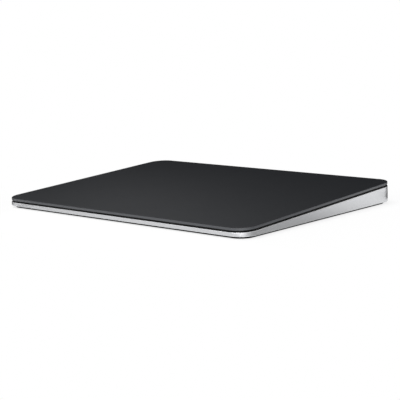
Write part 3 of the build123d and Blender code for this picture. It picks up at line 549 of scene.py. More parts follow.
def green_paint(colours):
    """Two-part paint, pad printed on the moulding: even green with a slight orange peel."""
    made = Finish("pad_printed_green_paint", colours.switch_mark, 0.42, Coat_Weight=0.15)
    made.relief(made.noise(0.25, detail=1), 0.008)
    made.tint(made.noise(0.7, detail=2), darker(colours.switch_mark, 0.9))
    return made.material


# Finishes of the inside


def rolled_steel():
    """Stainless sheet, cold rolled and stamped: grey metal with fine streaks along the rolling."""
    made = Finish("cold_rolled_stainless_sheet", linear("b4b5b8"), 0.32, Metallic=1.0)
    streaks = made.noise(0.16, detail=3, stretch=(30, 1, 1))
    made.relief(streaks, 0.004)
    made.rough(streaks, 0.26, 0.42)
    made.tint(made.noise(14, detail=3), linear("a3a4a8"))
    return made.material


def black_screws():
    """Carbon steel screws, zinc plated and blackened: dark metal, a little worn on the heads."""
    made = Finish("blackened_screw_steel", linear("3b3b3e"), 0.34, Metallic=1.0)
    made.tint(made.above(made.noise(0.5, detail=4), 0.6, 0.08), linear("6c6c70"))
    made.relief(made.noise(0.15, detail=3), 0.005)
    return made.material


def laminated_core():
    """Silicon steel laminations, punched, stacked and varnished: grey with a line at each sheet."""
    made = Finish("varnished_silicon_steel", linear("7e8086"), 0.38, Metallic=1.0, Coat_Weight=0.25)
    # The sheets are 0.35 mm thick
    sheets = made.bands("Z", 0.35)
    made.tint(made.above(sheets, 0.86, 0.1), linear("35363a"))
    made.relief(sheets, 0.01)
    made.rough(made.noise(1.2, detail=3), 0.32, 0.46)
    return made.material


def enamelled_wire():
    """Copper wire, drawn and coated with polyurethane enamel: warm copper under a clear gloss."""
    made = Finish("enamelled_copper_wire", linear("b4622f"), 0.28, Metallic=1.0, Coat_Weight=0.7)
    made.tint(made.noise(0.9, detail=3), linear("c8743a"))
    made.rough(made.noise(0.3), 0.22, 0.34)
    return made.material


def coil_former():
    """Liquid crystal polymer, moulded as the thin former that the wire is wound on: ivory."""
    made = Finish("moulded_liquid_crystal_polymer", linear("cfc7b2"), 0.5)
    made.tint(made.noise(1.1, detail=3, stretch=(1, 4, 1)), linear("bfb59c"))
    made.relief(made.noise(0.2), 0.006)
    return made.material


def foil_pouch():
    """Aluminium foil laminated between nylon and polypropylene, pressed into a pouch: dull silver with
    shallow creases."""
    made = Finish("laminated_foil_pouch", linear("a9abb0"), 0.38, Metallic=1.0, Coat_Weight=0.2)
    creases = made.noise(3.2, detail=4)
    made.relief(creases, 0.12)
    made.relief(made.noise(0.35, detail=2), 0.008)
    made.rough(creases, 0.3, 0.46)
    made.tint(made.noise(11, detail=2), linear("9a9ca2"))
    return made.material


def dark_label():
    """Polyester film, printed black all over and laminated matte, with nothing written on it."""
    made = Finish("matte_polyester_label", linear("17181a"), 0.48)
    made.relief(made.noise(0.5, detail=2), 0.006)
    made.tint(made.noise(7, detail=2), linear("1e1f22"))
    return made.material


def bonding_film():
    """Acrylic adhesive film, rolled on: milky grey, with small trapped bubbles."""
    made = Finish("acrylic_bonding_film", linear("b9bdc2"), 0.3, Coat_Weight=0.3)
    bubbles = made.above(made.noise(0.7, detail=1), 0.66, 0.03)
    made.tint(bubbles, linear("dfe2e6"))
    made.relief(bubbles, 0.01)
    return made.material


def solder_mask(colours):
    """Glass-epoxy board, copper tracks under green photo-imaged lacquer: the tracks stand out a shade
    paler and a little proud."""
    made = Finish("lacquered_circuit_board", colours.solder_mask, 0.36, Coat_Weight=0.35)
    # Tracks 0.2 mm wide, 0.75 mm apart, which turn off at right angles every few millimetres
    sockets = {"Vector": made.millimetres, "Scale": 1.0, "Mortar Size": 0.1, "Mortar Smooth": 0.1}
    sockets |= {"Brick Width": 5.2, "Row Height": 0.75}
    tracks = add_node(made.tree, "ShaderNodeTexBrick", sockets, offset=0.37).outputs["Fac"]
    gaps = made.above(made.noise(6, detail=1), 0.5, 0.02)
    shown = add_node(made.tree, "ShaderNodeMath", {0: tracks, 1: gaps}, operation="MULTIPLY")
    made.tint(shown.outputs[0], linear("2c7552"))
    made.relief(shown.outputs[0], 0.03)
    made.relief(made.noise(0.5), 0.004)
    return made.material


def moulded_chip():
    """Epoxy filled with silica, transfer moulded round the chip: charcoal with a fine grain."""
    made = Finish("moulded_epoxy_package", linear("1a1b1d"), 0.5)
    made.relief(made.noise(0.12, detail=3), 0.01)
    made.tint(made.noise(0.25, detail=3), linear("26272a"))
    return made.material


def tinned_metal():
    """Copper alloy leads, dipped in tin: soft bright grey."""
    made = Finish("tinned_copper_leads", linear("c3c4c6"), 0.34, Metallic=1.0)
    made.relief(made.noise(0.15, detail=2), 0.006)
    made.rough(made.noise(0.3), 0.26, 0.44)
    return made.material


def flat_cable(axis):
    """Polyimide film over copper tracks that run along the cable: amber, with a paler line at each
    track. axis is the one across the cable."""
    made = Finish(f"polyimide_flat_cable_{axis.lower()}", linear("8f4e12"), 0.28, Coat_Weight=0.3)
    # Tracks half a millimetre apart
    tracks = made.bands(axis, 0.5)
    made.tint(made.above(tracks, 0.5, 0.12), linear("b8742c"))
    made.relief(tracks, 0.012)
    return made.material


def gauge_film():
    """Polyimide film with an etched foil grid: amber with fine dark lines across the strip."""
    made = Finish("foil_strain_gauge", linear("9a5a18"), 0.34, Coat_Weight=0.2)
    grid = made.bands("X", 0.4)
    made.tint(made.above(grid, 0.55, 0.1), linear("5b5148"))
    made.relief(grid, 0.006)
    return made.material


def copper_track():
    """Copper foil, rolled, etched to the aerial's shape and dulled by air."""
    made = Finish("etched_copper_foil", linear("b97040"), 0.34, Metallic=1.0)
    made.tint(made.noise(2.2, detail=4), linear("a35a30"))
    made.relief(made.noise(0.3, detail=2), 0.004)
    return made.material


def clear_gel():
    """Silicone gel, cast: cloudy, soft and slightly blue, with light that goes into it."""
    made = Finish(
        "cast_silicone_gel", linear("aab3bf"), 0.32, Subsurface_Weight=0.5, Subsurface_Scale=0.4 * MM
    )
    made.relief(made.noise(0.8, detail=2), 0.01)
    made.tint(made.noise(1.5, detail=3), linear("c2cad4"))
    return made.material


# Pieces of the outside


class TOUCHPAD_OT_glass(bpy.types.Operator):
    """Glass sheet with a ground, rounded edge and a black print below"""

    bl_idname = "touchpad.glass"
    bl_label = "Glass sheet"

    upper_steps = 5
    lower_steps = 3
    corner_steps = 24

    def execute(self, context):
        sizes = context.scene.touchpad_sizes
        colours = context.scene.touchpad_colours
        low, high = box_along("glass_plate", deck_turn)
        middle, half = middle_and_half(low, high)
        upper = quarter_round(sizes.glass_round, self.upper_steps)
        lower = reversed(quarter_round(sizes.glass_lower_round, self.lower_steps))
        levels = [(inset, high.z - drop) for inset, drop in upper]
        levels += [(inset, low.z + drop) for inset, drop in lower]
        levels = [(inset, sizes.glass_corner - inset, height) for inset, height in levels]
        rings = stacked(half, levels, self.corner_steps, middle)
        # The first two bands of the edge are etched like the top, and the last is printed
        etched, ground, printed = range(3)
        paint = [etched] * 2 + [ground] * (len(rings) - 4) + [printed]
        mesh = bmesh.new()
        loft(mesh, rings, paint=paint)
        make_piece(
            "glass_sheet", mesh, [etched_glass(colours), ground_glass(colours), black_print()],
            "touch_deck", replaces=["glass_plate"], place=deck_turn,
        )
        return {"FINISHED"}


class TOUCHPAD_OT_housing(bpy.types.Operator):
    """Finish of the aluminium tub and of the deck's black frame"""

    bl_idname = "touchpad.housing"
    bl_label = "Tub and deck frame"

    def execute(self, context):
        dress(blasted_aluminium(context.scene.touchpad_colours), "housing", "switch_knob")
        dress(black_moulding(), "deck_frame", "switch_shuttle", "switch_body", "antenna_carrier")
        return {"FINISHED"}


class TOUCHPAD_OT_base(bpy.types.Operator):
    """Base plate and its four turned rubber feet"""

    bl_idname = "touchpad.base"
    bl_label = "Base plate and feet"

    # Shallow ring that the tool leaves in each foot
    ring_radius_share = 0.72
    ring_half_width = 0.16 * MM
    ring_depth = 0.05 * MM

    edge_steps = 5
    around = 72

    def execute(self, context):
        colours = context.scene.touchpad_colours
        dress(moulded_plate(colours), "base_plate")
        rubber = foot_rubber(colours)
        edge = quarter_round(context.scene.touchpad_sizes.foot_round, self.edge_steps)
        for corner in ("front_left", "front_right", "rear_left", "rear_right"):
            low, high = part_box(f"foot_{corner}")
            middle, half = middle_and_half(low, high)
            groove = half.x * self.ring_radius_share
            profile = [
                (half.x, high.z),
                *[(half.x - inset, low.z + drop) for inset, drop in reversed(edge)],
                (groove + self.ring_half_width, low.z),
                (groove, low.z + self.ring_depth),
                (groove - self.ring_half_width, low.z),
            ]
            mesh = bmesh.new()
            loft(mesh, [at_height(circle_ring(r, self.around), z, middle) for r, z in profile])
            make_piece(
                f"foot_pad_{corner}", mesh, [rubber], "base",
                replaces=[f"foot_{corner}"],
            )
        return {"FINISHED"}


class TOUCHPAD_OT_socket(bpy.types.Operator):
    """Charging socket: drawn shell, moulding, gold contacts and a round rubber seal"""

    bl_idname = "touchpad.socket"
    bl_label = "Charging socket"

    around = 12
    corner_steps = 12

    def execute(self, context):
        dress(drawn_steel(), "port_shell")
        dress(black_moulding(), "port_insulator")
        dress(gold_plate(), "port_contacts")
        middle, half = middle_and_half(*box_along("port_gasket", rear_turn))
        shell_half = middle_and_half(*box_along("port_shell", rear_turn))[1]
        cord_radius = (half.y - shell_half.y) / 2
        rings = []
        for step in range(self.around):
            turn = 2 * pi * step / self.around
            out = cord_radius * (cos(turn) - 1)
            ring = rounded_ring(half.x + out, half.y + out, half.y + out, self.corner_steps)
            rings.append(at_height(ring, half.z * sin(turn)))
        mesh = bmesh.new()
        loft(mesh, rings, around=True)
        make_piece(
            "socket_seal", mesh, [seal_rubber()], "base",
            replaces=["port_gasket"], place=rear_turn @ Matrix.Translation(middle),
        )
        return {"FINISHED"}


class TOUCHPAD_OT_switch(bpy.types.Operator):
    """Coloured mark of the power switch"""

    bl_idname = "touchpad.switch"
    bl_label = "Switch mark"

    def execute(self, context):
        dress(green_paint(context.scene.touchpad_colours), "switch_mark")
        return {"FINISHED"}


# Pieces of the inside


class TOUCHPAD_OT_plates(bpy.types.Operator):
    """Steel sheets, films and screws"""

    bl_idname = "touchpad.plates"
    bl_label = "Sheets, films and screws"

    def execute(self, context):
        springs = [node for node in frame["nodes"] if node.startswith("flexure_")]
        springs.remove("flexure_screws")
        dress(rolled_steel(), "stiffener_plate", "haptic_frame", "logic_shield", *springs)
        dress(bonding_film(), "glass_adhesive", "base_adhesive", "battery_adhesive")
        dress(black_screws(), "rail_screws", "flexure_screws", "board_screws")
        dress(gauge_film(), "strain_gauges")
        return {"FINISHED"}


class TOUCHPAD_OT_gel_pads(bpy.types.Operator):
    """Gel pads that the deck floats on, with drawn-in faces and bulging sides"""

    bl_idname = "touchpad.gel_pads"
    bl_label = "Gel pads"

    corner = 1.0 * MM
    corner_steps = 8
    rings = 10

    def execute(self, context):
        bulge = context.scene.touchpad_sizes.gel_bulge
        gel = clear_gel()
        for node in [node for node in frame["nodes"] if node.startswith("gel_pad_")]:
            low, high = box_along(node, deck_turn)
            middle, half = middle_and_half(low, high)
            levels = []
            for step in range(self.rings + 1):
                share = step / self.rings
                inset = bulge * (2 * share - 1) ** 2
                levels.append((inset, self.corner - inset, low.z + share * (high.z - low.z)))
            mesh = bmesh.new()
            loft(mesh, stacked(half, levels, self.corner_steps, middle))
            pad = make_piece(
                node.replace("gel_pad", "gel_cushion"), mesh, [gel], "force_pads",
                replaces=[node], place=deck_turn,
            )
        return {"FINISHED"}


class TOUCHPAD_OT_coils(bpy.types.Operator):
    """Haptic engine: wound coils on their formers, the laminated core and the rail it pulls"""

    bl_idname = "touchpad.coils"
    bl_label = "Haptic engine"

    corner = 0.35 * MM
    flange = 0.3 * MM
    # Gap between neighbouring turns, and between the wire, the former and the core
    spare = 0.01 * MM
    former_corner = 0.3 * MM
    hole_corner = 0.04 * MM
    # The former is this many times as thick beside the core's tooth as over and under it
    side_wall_share = 3
    corner_steps = 4
    around = 6

    def execute(self, context):
        wire = context.scene.touchpad_sizes.wire
        dress(laminated_core(), "haptic_core", "attraction_rail")
        copper = enamelled_wire()
        moulding = coil_former()
        core_half = middle_and_half(*box_along("haptic_core", deck_turn))[1]
        for side in ("left", "middle", "right"):
            middle, half = middle_and_half(*box_along(f"haptic_coil_{side}", deck_turn))
            place = deck_turn @ Matrix.Translation(middle) @ Matrix.Rotation(-pi / 2, 4, "X")
            self.wind(side, half, wire, copper, place)
            self.mould(side, half, core_half.z, wire, moulding, place)
        return {"FINISHED"}

    def wind(self, side, half, wire, copper, place):
        """One layer of wire from flange to flange, as an unbroken tube."""
        run = 2 * (half.y - self.flange) - wire
        turns = int(run / (wire + self.spare))
        outline = rounded_ring(half.x - wire / 2, half.z - wire / 2, self.corner, self.corner_steps)
        last = turns * len(outline)
        path = []
        for point in range(last + 1):
            x, y = outline[point % len(outline)]
            path.append(Vector((x, y, (point / last - 0.5) * run)))
        rings = []
        for point, spot in enumerate(path):
            ahead = (path[min(point + 1, last)] - path[max(point - 1, 0)]).normalized()
            out = ahead.cross(Vector((0, 0, 1))).normalized()
            up = out.cross(ahead)
            rings.append([spot + x * out + y * up for x, y in circle_ring(wire / 2, self.around)])
        mesh = bmesh.new()
        loft(mesh, rings)
        make_piece(
            f"coil_wire_{side}", mesh, [copper], "base",
            replaces=[f"haptic_coil_{side}"], place=place, sharp=80,
        )

    def mould(self, side, half, half_core, wire, moulding, place):
        """Former round the core's tooth: a thin tube with a flange at each end."""
        tube_x = half.x - wire - self.spare
        tube_z = half.z - wire - self.spare
        hole_z = half_core + self.spare
        hole_x = tube_x - (tube_z - hole_z) * self.side_wall_share
        flange = (half.x, half.z, self.former_corner)
        tube = (tube_x, tube_z, self.former_corner)
        hole = (hole_x, hole_z, self.hole_corner)
        end = half.y
        inner_end = end - self.flange
        rings = [
            at_height(rounded_ring(*section, self.corner_steps), along)
            for section, along in (
                (flange, -end), (flange, -inner_end), (tube, -inner_end), (tube, inner_end),
                (flange, inner_end), (flange, end), (hole, end), (hole, -end),
            )
        ]
        mesh = bmesh.new()
        loft(mesh, rings, around=True)
        make_piece(f"coil_former_{side}", mesh, [moulding], "base", place=place)


class TOUCHPAD_OT_battery(bpy.types.Operator):
    """Two foil pouches with crowned tops, sealed ends, folded seams and plain labels"""

    bl_idname = "touchpad.battery"
    bl_label = "Battery"

    corner = 1.5 * MM
    least_corner = 0.25 * MM
    # Inset and height of each ring of the body's lower edge
    lower_edge = ((0.3 * MM, 0), (0.05 * MM, 0.25 * MM), (0, 0.8 * MM))
    top_half_width = 0.5 * MM
    end_depth = 3.8 * MM
    end_overlap = 0.3 * MM
    end_thickness = 0.45 * MM
    end_edge = 0.2 * MM
    seam_foot = 0.4 * MM
    seam_height = 2.6 * MM
    seam_thickness = 0.18 * MM
    seam_lean = 0.12 * MM
    label_share = (0.72, 0.5)
    label_corner = 1.2 * MM
    label_edge = 0.05 * MM
    label_thickness = 0.06 * MM
    edge_steps = 6
    corner_steps = 6
    crown_rings = 10

    def execute(self, context):
        sizes = context.scene.touchpad_sizes
        foil = foil_pouch()
        label = dark_label()
        for side in ("left", "right"):
            node = f"battery_cell_{side}"
            low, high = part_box(node)
            body_low = low + Vector((0, self.end_depth, 0))
            mesh = bmesh.new()
            self.pouch(mesh, body_low, high, sizes)
            self.sealed_end(mesh, low, high)
            self.seams(mesh, body_low, high)
            make_piece(f"foil_pouch_{side}", mesh, [foil], "base", replaces=[node])
            mesh = bmesh.new()
            self.label(mesh, body_low, high, sizes)
            make_piece(f"battery_label_{side}", mesh, [label], "base")
        return {"FINISHED"}

    def pouch(self, mesh, low, high, sizes):
        """Deep-drawn body: flat below, rounded at its upper edge and crowned on top."""
        middle, half = middle_and_half(low, high)
        half.x -= self.seam_thickness + self.seam_lean
        edge = sizes.pouch_round
        top = high.z - sizes.pouch_crown
        upper = reversed(quarter_round(edge, self.edge_steps))
        levels = [(inset, low.z + rise) for inset, rise in self.lower_edge]
        levels += [(inset, top - drop) for inset, drop in upper]
        crown_run = half.y - edge - self.top_half_width
        for step in range(1, self.crown_rings + 1):
            share = step / self.crown_rings
            rise = sizes.pouch_crown * (1 - (1 - share) ** 2)
            levels.append((edge + share * crown_run, top + rise))
        levels = [(inset, max(self.corner - inset, self.least_corner), z) for inset, z in levels]
        loft(mesh, stacked(half, levels, self.corner_steps, middle))

    def sealed_end(self, mesh, low, high):
        """Thin heat-sealed lip in front of the body, which carries the protection board."""
        rear = low.y + self.end_depth + self.end_overlap
        corner = low + Vector((self.corner, 0, 0))
        far = Vector((high.x - self.corner, rear, low.z + self.end_thickness))
        soft_block(mesh, corner, far, self.end_edge)

    def seams(self, mesh, low, high):
        """Side seams, folded up along the body and leaning in a little at their tops."""
        foot = low.z + self.seam_foot
        middle = foot + self.seam_height / 2
        top = foot + self.seam_height
        for outer, inward in ((low.x, 1), (high.x, -1)):
            lean = inward * self.seam_lean
            inner = outer + inward * self.seam_thickness
            section = (
                (outer, foot), (inner, foot), (inner, middle),
                (inner + lean, top), (outer + lean, top), (outer, middle),
            )
            ends = (low.y + self.corner, high.y - self.corner)
            loft(mesh, [[Vector((x, y, z)) for x, z in section] for y in ends])

    def label(self, mesh, low, high, sizes):
        """Bare label on the crown of the pouch."""
        middle, half = middle_and_half(low, high)
        half.x *= self.label_share[0]
        half.y *= self.label_share[1]
        levels = (
            (0, self.label_corner, high.z - sizes.pouch_crown / 2),
            (0, self.label_corner, high.z + self.label_thickness / 2),
            (self.label_edge, self.label_corner, high.z + self.label_thickness),
        )
        loft(mesh, stacked(half, levels, self.corner_steps, middle))


class TOUCHPAD_OT_boards(bpy.types.Operator):
    """Circuit boards, their chips with leads, and the connectors with their latches and contacts"""

    bl_idname = "touchpad.boards"
    bl_label = "Boards and chips"

    lead_width = 0.24 * MM
    lead_spacing = 0.6 * MM
    lead_height = 0.16 * MM
    lead_proud = 0.03 * MM
    lead_edge = 0.01 * MM
    cap_length = 0.26 * MM
    cap_proud = 0.02 * MM
    cap_edge = 0.04 * MM
    # Parts shorter than this are resistors and capacitors with a cap at each end
    small_part = 1.6 * MM
    latch_share = 0.34
    latch_edge = 0.08 * MM
    contact_spacing = 0.5 * MM
    contact_width = 0.2 * MM

    def execute(self, context):
        dress(
            solder_mask(context.scene.touchpad_colours),
            "touch_board", "logic_board", "force_board", "io_board", "battery_protection_board",
        )
        dress(moulded_chip(), "touch_board_chips", "logic_chips", "force_chips")
        dress(black_moulding(), "flex_connectors")
        tin = tinned_metal()
        upright = Matrix.Identity(4)
        under_deck = deck_turn @ Matrix.Rotation(pi, 4, "X")
        for node, body, turn in (
            ("logic_chips", "base", upright),
            ("force_chips", "base", upright),
            ("touch_board_chips", "touch_deck", under_deck),
        ):
            mesh = bmesh.new()
            for low, high in solids_of(node, turn):
                self.leads(mesh, low, high)
            make_piece(node.replace("chips", "leads"), mesh, [tin], body, place=turn)
        contacts = bmesh.new()
        latches = bmesh.new()
        for low, high in solids_of("flex_connectors"):
            size = high - low
            along = 0 if size.x > size.y else 1
            self.tails(contacts, low, high, along, self.contact_spacing, self.contact_width)
            self.latch(latches, low, high, along)
        make_piece("connector_contacts", contacts, [gold_plate()], "base")
        make_piece("connector_latches", latches, [coil_former()], "base")
        return {"FINISHED"}

    def leads(self, mesh, low, high):
        """Tinned tails round a chip's foot, or the two end caps of a small part."""
        if (high - low).x >= self.small_part:
            for along in (1, 0):
                self.tails(mesh, low, high, along, self.lead_spacing, self.lead_width)
            return
        for start in (low.x - self.cap_proud, high.x + self.cap_proud - self.cap_length):
            corner = Vector((start, low.y - self.cap_proud, low.z))
            far = Vector((start + self.cap_length, high.y + self.cap_proud, high.z + self.cap_proud))
            soft_block(mesh, corner, far, self.cap_edge)

    def tails(self, mesh, low, high, along, spacing, width):
        """Row of solder tails at the foot of both walls that run along this axis."""
        across = 1 - along
        count = int(((high - low)[along] - spacing) / spacing)
        for spot in range(count):
            place = (low[along] + high[along]) / 2 + (spot - (count - 1) / 2) * spacing
            for wall in (low[across], high[across]):
                corner = Vector((0, 0, low.z))
                far = Vector((0, 0, low.z + self.lead_height))
                corner[along] = place - width / 2
                far[along] = place + width / 2
                corner[across] = wall - self.lead_proud
                far[across] = wall + self.lead_proud
                soft_block(mesh, corner, far, self.lead_edge)

    def latch(self, mesh, low, high, along):
        """Flip latch that runs the length of a connector, a little proud of both its ends."""
        across = 1 - along
        corner = low.copy()
        far = high.copy()
        corner[along] -= self.lead_proud
        far[along] += self.lead_proud
        middle = (low[across] + high[across]) / 2
        half_width = (high - low)[across] * self.latch_share / 2
        corner[across] = middle - half_width
        far[across] = middle + half_width
        corner.z = low.z + self.lead_height
        far.z = high.z - self.lead_proud
        soft_block(mesh, corner, far, self.latch_edge)


class TOUCHPAD_OT_cables(bpy.types.Operator):
    """Flat cables and the aerial's copper track"""

    bl_idname = "touchpad.cables"
    bl_label = "Flat cables"

    def execute(self, context):
        dress(flat_cable("X"), "touch_flex", "battery_lead", "io_flex", "gauge_tails")
        dress(flat_cable("Y"), "bridge_flex", "haptic_flex")
        dress(copper_track(), "antenna_flex")
        return {"FINISHED"}


class TOUCHPAD_OT_stops(bpy.types.Operator):
    """Rubber stops under the deck, with rounded, sloping tops"""

    bl_idname = "touchpad.stops"
    bl_label = "Travel stops"

    edge = 0.3 * MM
    edge_steps = 5
    around = 48

    def execute(self, context):
        slope = -deck_normal.y / deck_normal.z
        mesh = bmesh.new()
        for low, high in solids_of("travel_stops"):
            middle, half = middle_and_half(low, high)
            top = high.z - slope * half.x
            rings = [at_height(circle_ring(half.x, self.around), low.z, middle)]
            for inset, drop in reversed(quarter_round(self.edge, self.edge_steps)):
                ring = at_height(circle_ring(half.x - inset, self.around), top - drop, middle)
                for point in ring:
                    point.z += slope * (point.y - middle.y)
                rings.append(ring)
            loft(mesh, rings)
        make_piece(
            "stop_bumpers", mesh, [seal_rubber()], "base", replaces=["travel_stops"]
        )
        return {"FINISHED"}


# Studio


class TOUCHPAD_OT_stage(bpy.types.Operator):
    """Pale floor, soft lamps, glowing cards that only mirrored rays see, which paint reflections and
    highlights into the metal and glass, and the camera
    """

    bl_idname = "touchpad.stage"
    bl_label = "Studio and camera"

    # Half the width of the floor
    floor_half = 6.0
    # How far beside the pad's outline the floor turns white, for each kind of ray that shows it
    white_from = {"Camera": -2.6 * MM, "Transmission": -2.6 * MM, "Glossy": 0.6 * MM}
    white_run = 0.5 * MM
    # Between these lines, inside the outline, shade is painted into the paper under the pad: its colour
    # runs to near black
    painted_shade_from = -1.0 * MM
    painted_shade_to = -2.0 * MM
    # How far from the pad the floor keeps its shadow
    shadow_run = 50.0 * MM
    # Camera: its sensor in millimetres, and the nearest and farthest that it sees
    sensor_width = 36.0
    clip_start = 0.01
    clip_end = 50.0
    # Name, place, what it faces, width, height and power of each soft lamp
    lamps = (
        ("top_softbox", (-0.3, -0.2, 1.2), (0, 0, 0), 1.0, 0.8, 10.0),
        ("front_softbox", (0.55, -0.6, 0.9), (0, 0, 0), 0.6, 0.5, 4.0),
        ("lower_softbox", (0.3, -0.3, -0.9), (0, 0, 0), 0.8, 0.8, 12.0),
    )
    # Name, middle, half length along X, Y and Z of each card that only mirrors show, and its strength
    # at the low and the high end of its length along Y, where 1 is white. The cards paint reflections
    # into the aluminium walls and the glass: a dark card paints a dark reflection, a card over 1 paints
    # a highlight
    cards = (
        ("rear_left_card", (-0.34, 0.16, 0.07), (0.21, 0, 0.07), 0, 0),
        ("rear_card", (0.0, 0.16, 0.09), (0.13, 0, 0.09), 0, 0),
        ("left_card", (-0.24, 0.08, 0.0675), (0, 0.08, 0.0675), 0, 0),
        ("front_card", (-0.28, -0.2, 0.05), (0.12, 0, 0.05), 0, 0),
        ("front_floor_card", (-0.125, -0.117, 0.0005), (0.055, 0.031, 0), 0, 0),
        ("front_near_card", (-0.074, -0.074, 0.0005), (0.005, 0.012, 0), 0, 0),
        ("right_card", (0.22, 0.045, 0.04), (0, 0.085, 0.04), 0, 0),
        ("right_floor_card", (0.1305, -0.032, 0.0005), (0.0495, 0.027, 0), 0.46, 0.5),
        ("right_floor_fade", (0.1305, 0.015, 0.0005), (0.0495, 0.02, 0), 0.5, 0.94),
        # Painted highlights in the aluminium walls, from glowing cards on the floor
        ("right_painted_highlight", (0.1305, 0.08, 0.0005), (0.0495, 0.045, 0), 0.94, 1.62),
        ("front_painted_highlight", (0.008, -0.092, 0.0005), (0.07, 0.031, 0), 0.92, 0.92),
        ("corner_painted_highlight", (0.121, -0.106, 0.0005), (0.042, 0.046, 0), 1.65, 1.65),
        ("left_painted_highlight", (-0.087, -0.0755, 0.0005), (0.008, 0.009, 0), 3.2, 3.2),
        ("left_floor_card", (-0.111, -0.047, 0.0005), (0.029, 0.019, 0), 0, 0),
        ("rear_floor_card", (0.0795, 0.088, 0.001), (0.0115, 0.027, 0), 0.05, 0.05),
    )

    def execute(self, context):
        studio = context.scene.touchpad_studio
        context.scene.view_settings.view_transform = "Standard"
        self.world(context.scene, studio)
        self.floor(studio, context.scene.touchpad_sizes.glass_corner)
        for lamp in self.lamps:
            self.lamp(*lamp)
        for card in self.cards:
            self.card(*card)
        self.camera(context.scene, studio)
        return {"FINISHED"}

    def seen_rays(self, tree, kinds):
        """1 for the rays of these kinds, which show the background, and 0 for the others."""
        path = add_node(tree, "ShaderNodeLightPath").outputs
        seen = 0.0
        for kind in kinds:
            sockets = {0: path[f"Is {kind} Ray"], 1: seen}
            seen = add_node(tree, "ShaderNodeMath", sockets, operation="MAXIMUM").outputs[0]
        return seen

    def world(self, scene, studio):
        """Even light at a plain level, behind which the background shows white."""
        scene.world = bpy.data.worlds.new("studio_room")
        scene.world.use_nodes = True
        tree = scene.world.node_tree
        seen = self.seen_rays(tree, ("Camera", "Glossy", "Transmission"))
        sockets = {"Value": seen, "To Min": studio.room_light, "To Max": 1.0}
        strength = add_node(tree, "ShaderNodeMapRange", sockets).outputs["Result"]
        tree.links.new(strength, tree.nodes["Background"].inputs["Strength"])
        tree.nodes["Background"].inputs["Color"].default_value = linear("ffffff")

    def beside_pad(self, paper, corner):
        """How many millimetres each point of the floor lies outside the pad's outline."""
        tree = paper.tree
        pad_half = (Vector(cad_box[1]) - Vector(cad_box[0])) / 2
        straight = [max(half - corner, 0) / MM for half in pad_half]
        beside = paper.millimetres
        steps = (("ABSOLUTE", {}), ("SUBTRACT", {1: straight}), ("MAXIMUM", {1: (0, 0, 0)}))
        for operation, second in steps:
            sockets = {0: beside, **second}
            beside = add_node(tree, "ShaderNodeVectorMath", sockets, operation=operation).outputs[0]
        length = add_node(tree, "ShaderNodeVectorMath", {0: beside}, operation="LENGTH")
        sockets = {0: length.outputs["Value"], 1: corner / MM}
        return add_node(tree, "ShaderNodeMath", sockets, operation="SUBTRACT").outputs[0]

    def floor(self, studio, corner):
        """Sheet of white paper with the pad's faint shadow, and painted shade under the pad. It isn't
        seen from below.
        """
        paper = Finish("white_studio_paper", linear("f2f2f2"), 0.9)
        paper.tint(paper.noise(1.5, detail=4), linear("efefef"))
        tree = paper.tree
        beside = self.beside_pad(paper, corner)
        sockets = {"Value": beside, "From Min": self.painted_shade_from / MM, "From Max": self.painted_shade_to / MM}
        under = add_node(tree, "ShaderNodeMapRange", sockets).outputs["Result"]
        # Painted shade: the paper's colour runs to near black under the pad
        paper.tint(under, linear("0a0a0a"))
        sockets = {"Value": beside, "From Max": self.shadow_run / MM, "To Min": 1 - studio.shadow}
        plain = add_node(tree, "ShaderNodeMapRange", sockets).outputs["Result"]
        white_share = 0.0
        for kind, start in self.white_from.items():
            end = start + self.white_run
            sockets = {"Value": beside, "From Min": start / MM, "From Max": end / MM}
            outside = add_node(tree, "ShaderNodeMapRange", sockets).outputs["Result"]
            sockets = {0: self.seen_rays(tree, (kind,)), 1: outside}
            seen = add_node(tree, "ShaderNodeMath", sockets, operation="MULTIPLY").outputs[0]
            sockets = {0: seen, 1: plain, 2: white_share}
            added = add_node(tree, "ShaderNodeMath", sockets, operation="MULTIPLY_ADD")
            white_share = added.outputs[0]
        white = add_node(tree, "ShaderNodeEmission", {"Color": linear("ffffff")}).outputs[0]
        sockets = {0: white_share, 1: paper.shader.outputs[0], 2: white}
        above = add_node(tree, "ShaderNodeMixShader", sockets).outputs[0]
        below = add_node(tree, "ShaderNodeBsdfTransparent").outputs[0]
        facing = add_node(tree, "ShaderNodeNewGeometry").outputs["Backfacing"]
        shown = add_node(tree, "ShaderNodeMixShader", {0: facing, 1: above, 2: below})
        tree.links.new(shown.outputs[0], tree.nodes["Material Output"].inputs["Surface"])
        sides = Matrix.Scale(self.floor_half, 3)
        floor = add_sheet("paper_floor", Vector(), sides[0], sides[1], paper.material)
        # The underside gets its light through the floor
        floor.visible_diffuse = False
        floor.visible_shadow = False

    def aimed(self, place, target):
        """Matrix of something at a place whose back is turned away from its target."""
        away = (Vector(place) - Vector(target)).normalized()
        return Matrix.Translation(place) @ away.to_track_quat("Z", "Y").to_matrix().to_4x4()

    def lamp(self, name, place, target, width, height, power):
        """Soft rectangular lamp."""
        light = bpy.data.lights.new(name, "AREA")
        light.shape = "RECTANGLE"
        light.size = width
        light.size_y = height
        light.energy = power
        lamp = add_object(name, light)
        lamp.matrix_world = self.aimed(place, target)
        lamp.visible_camera = False

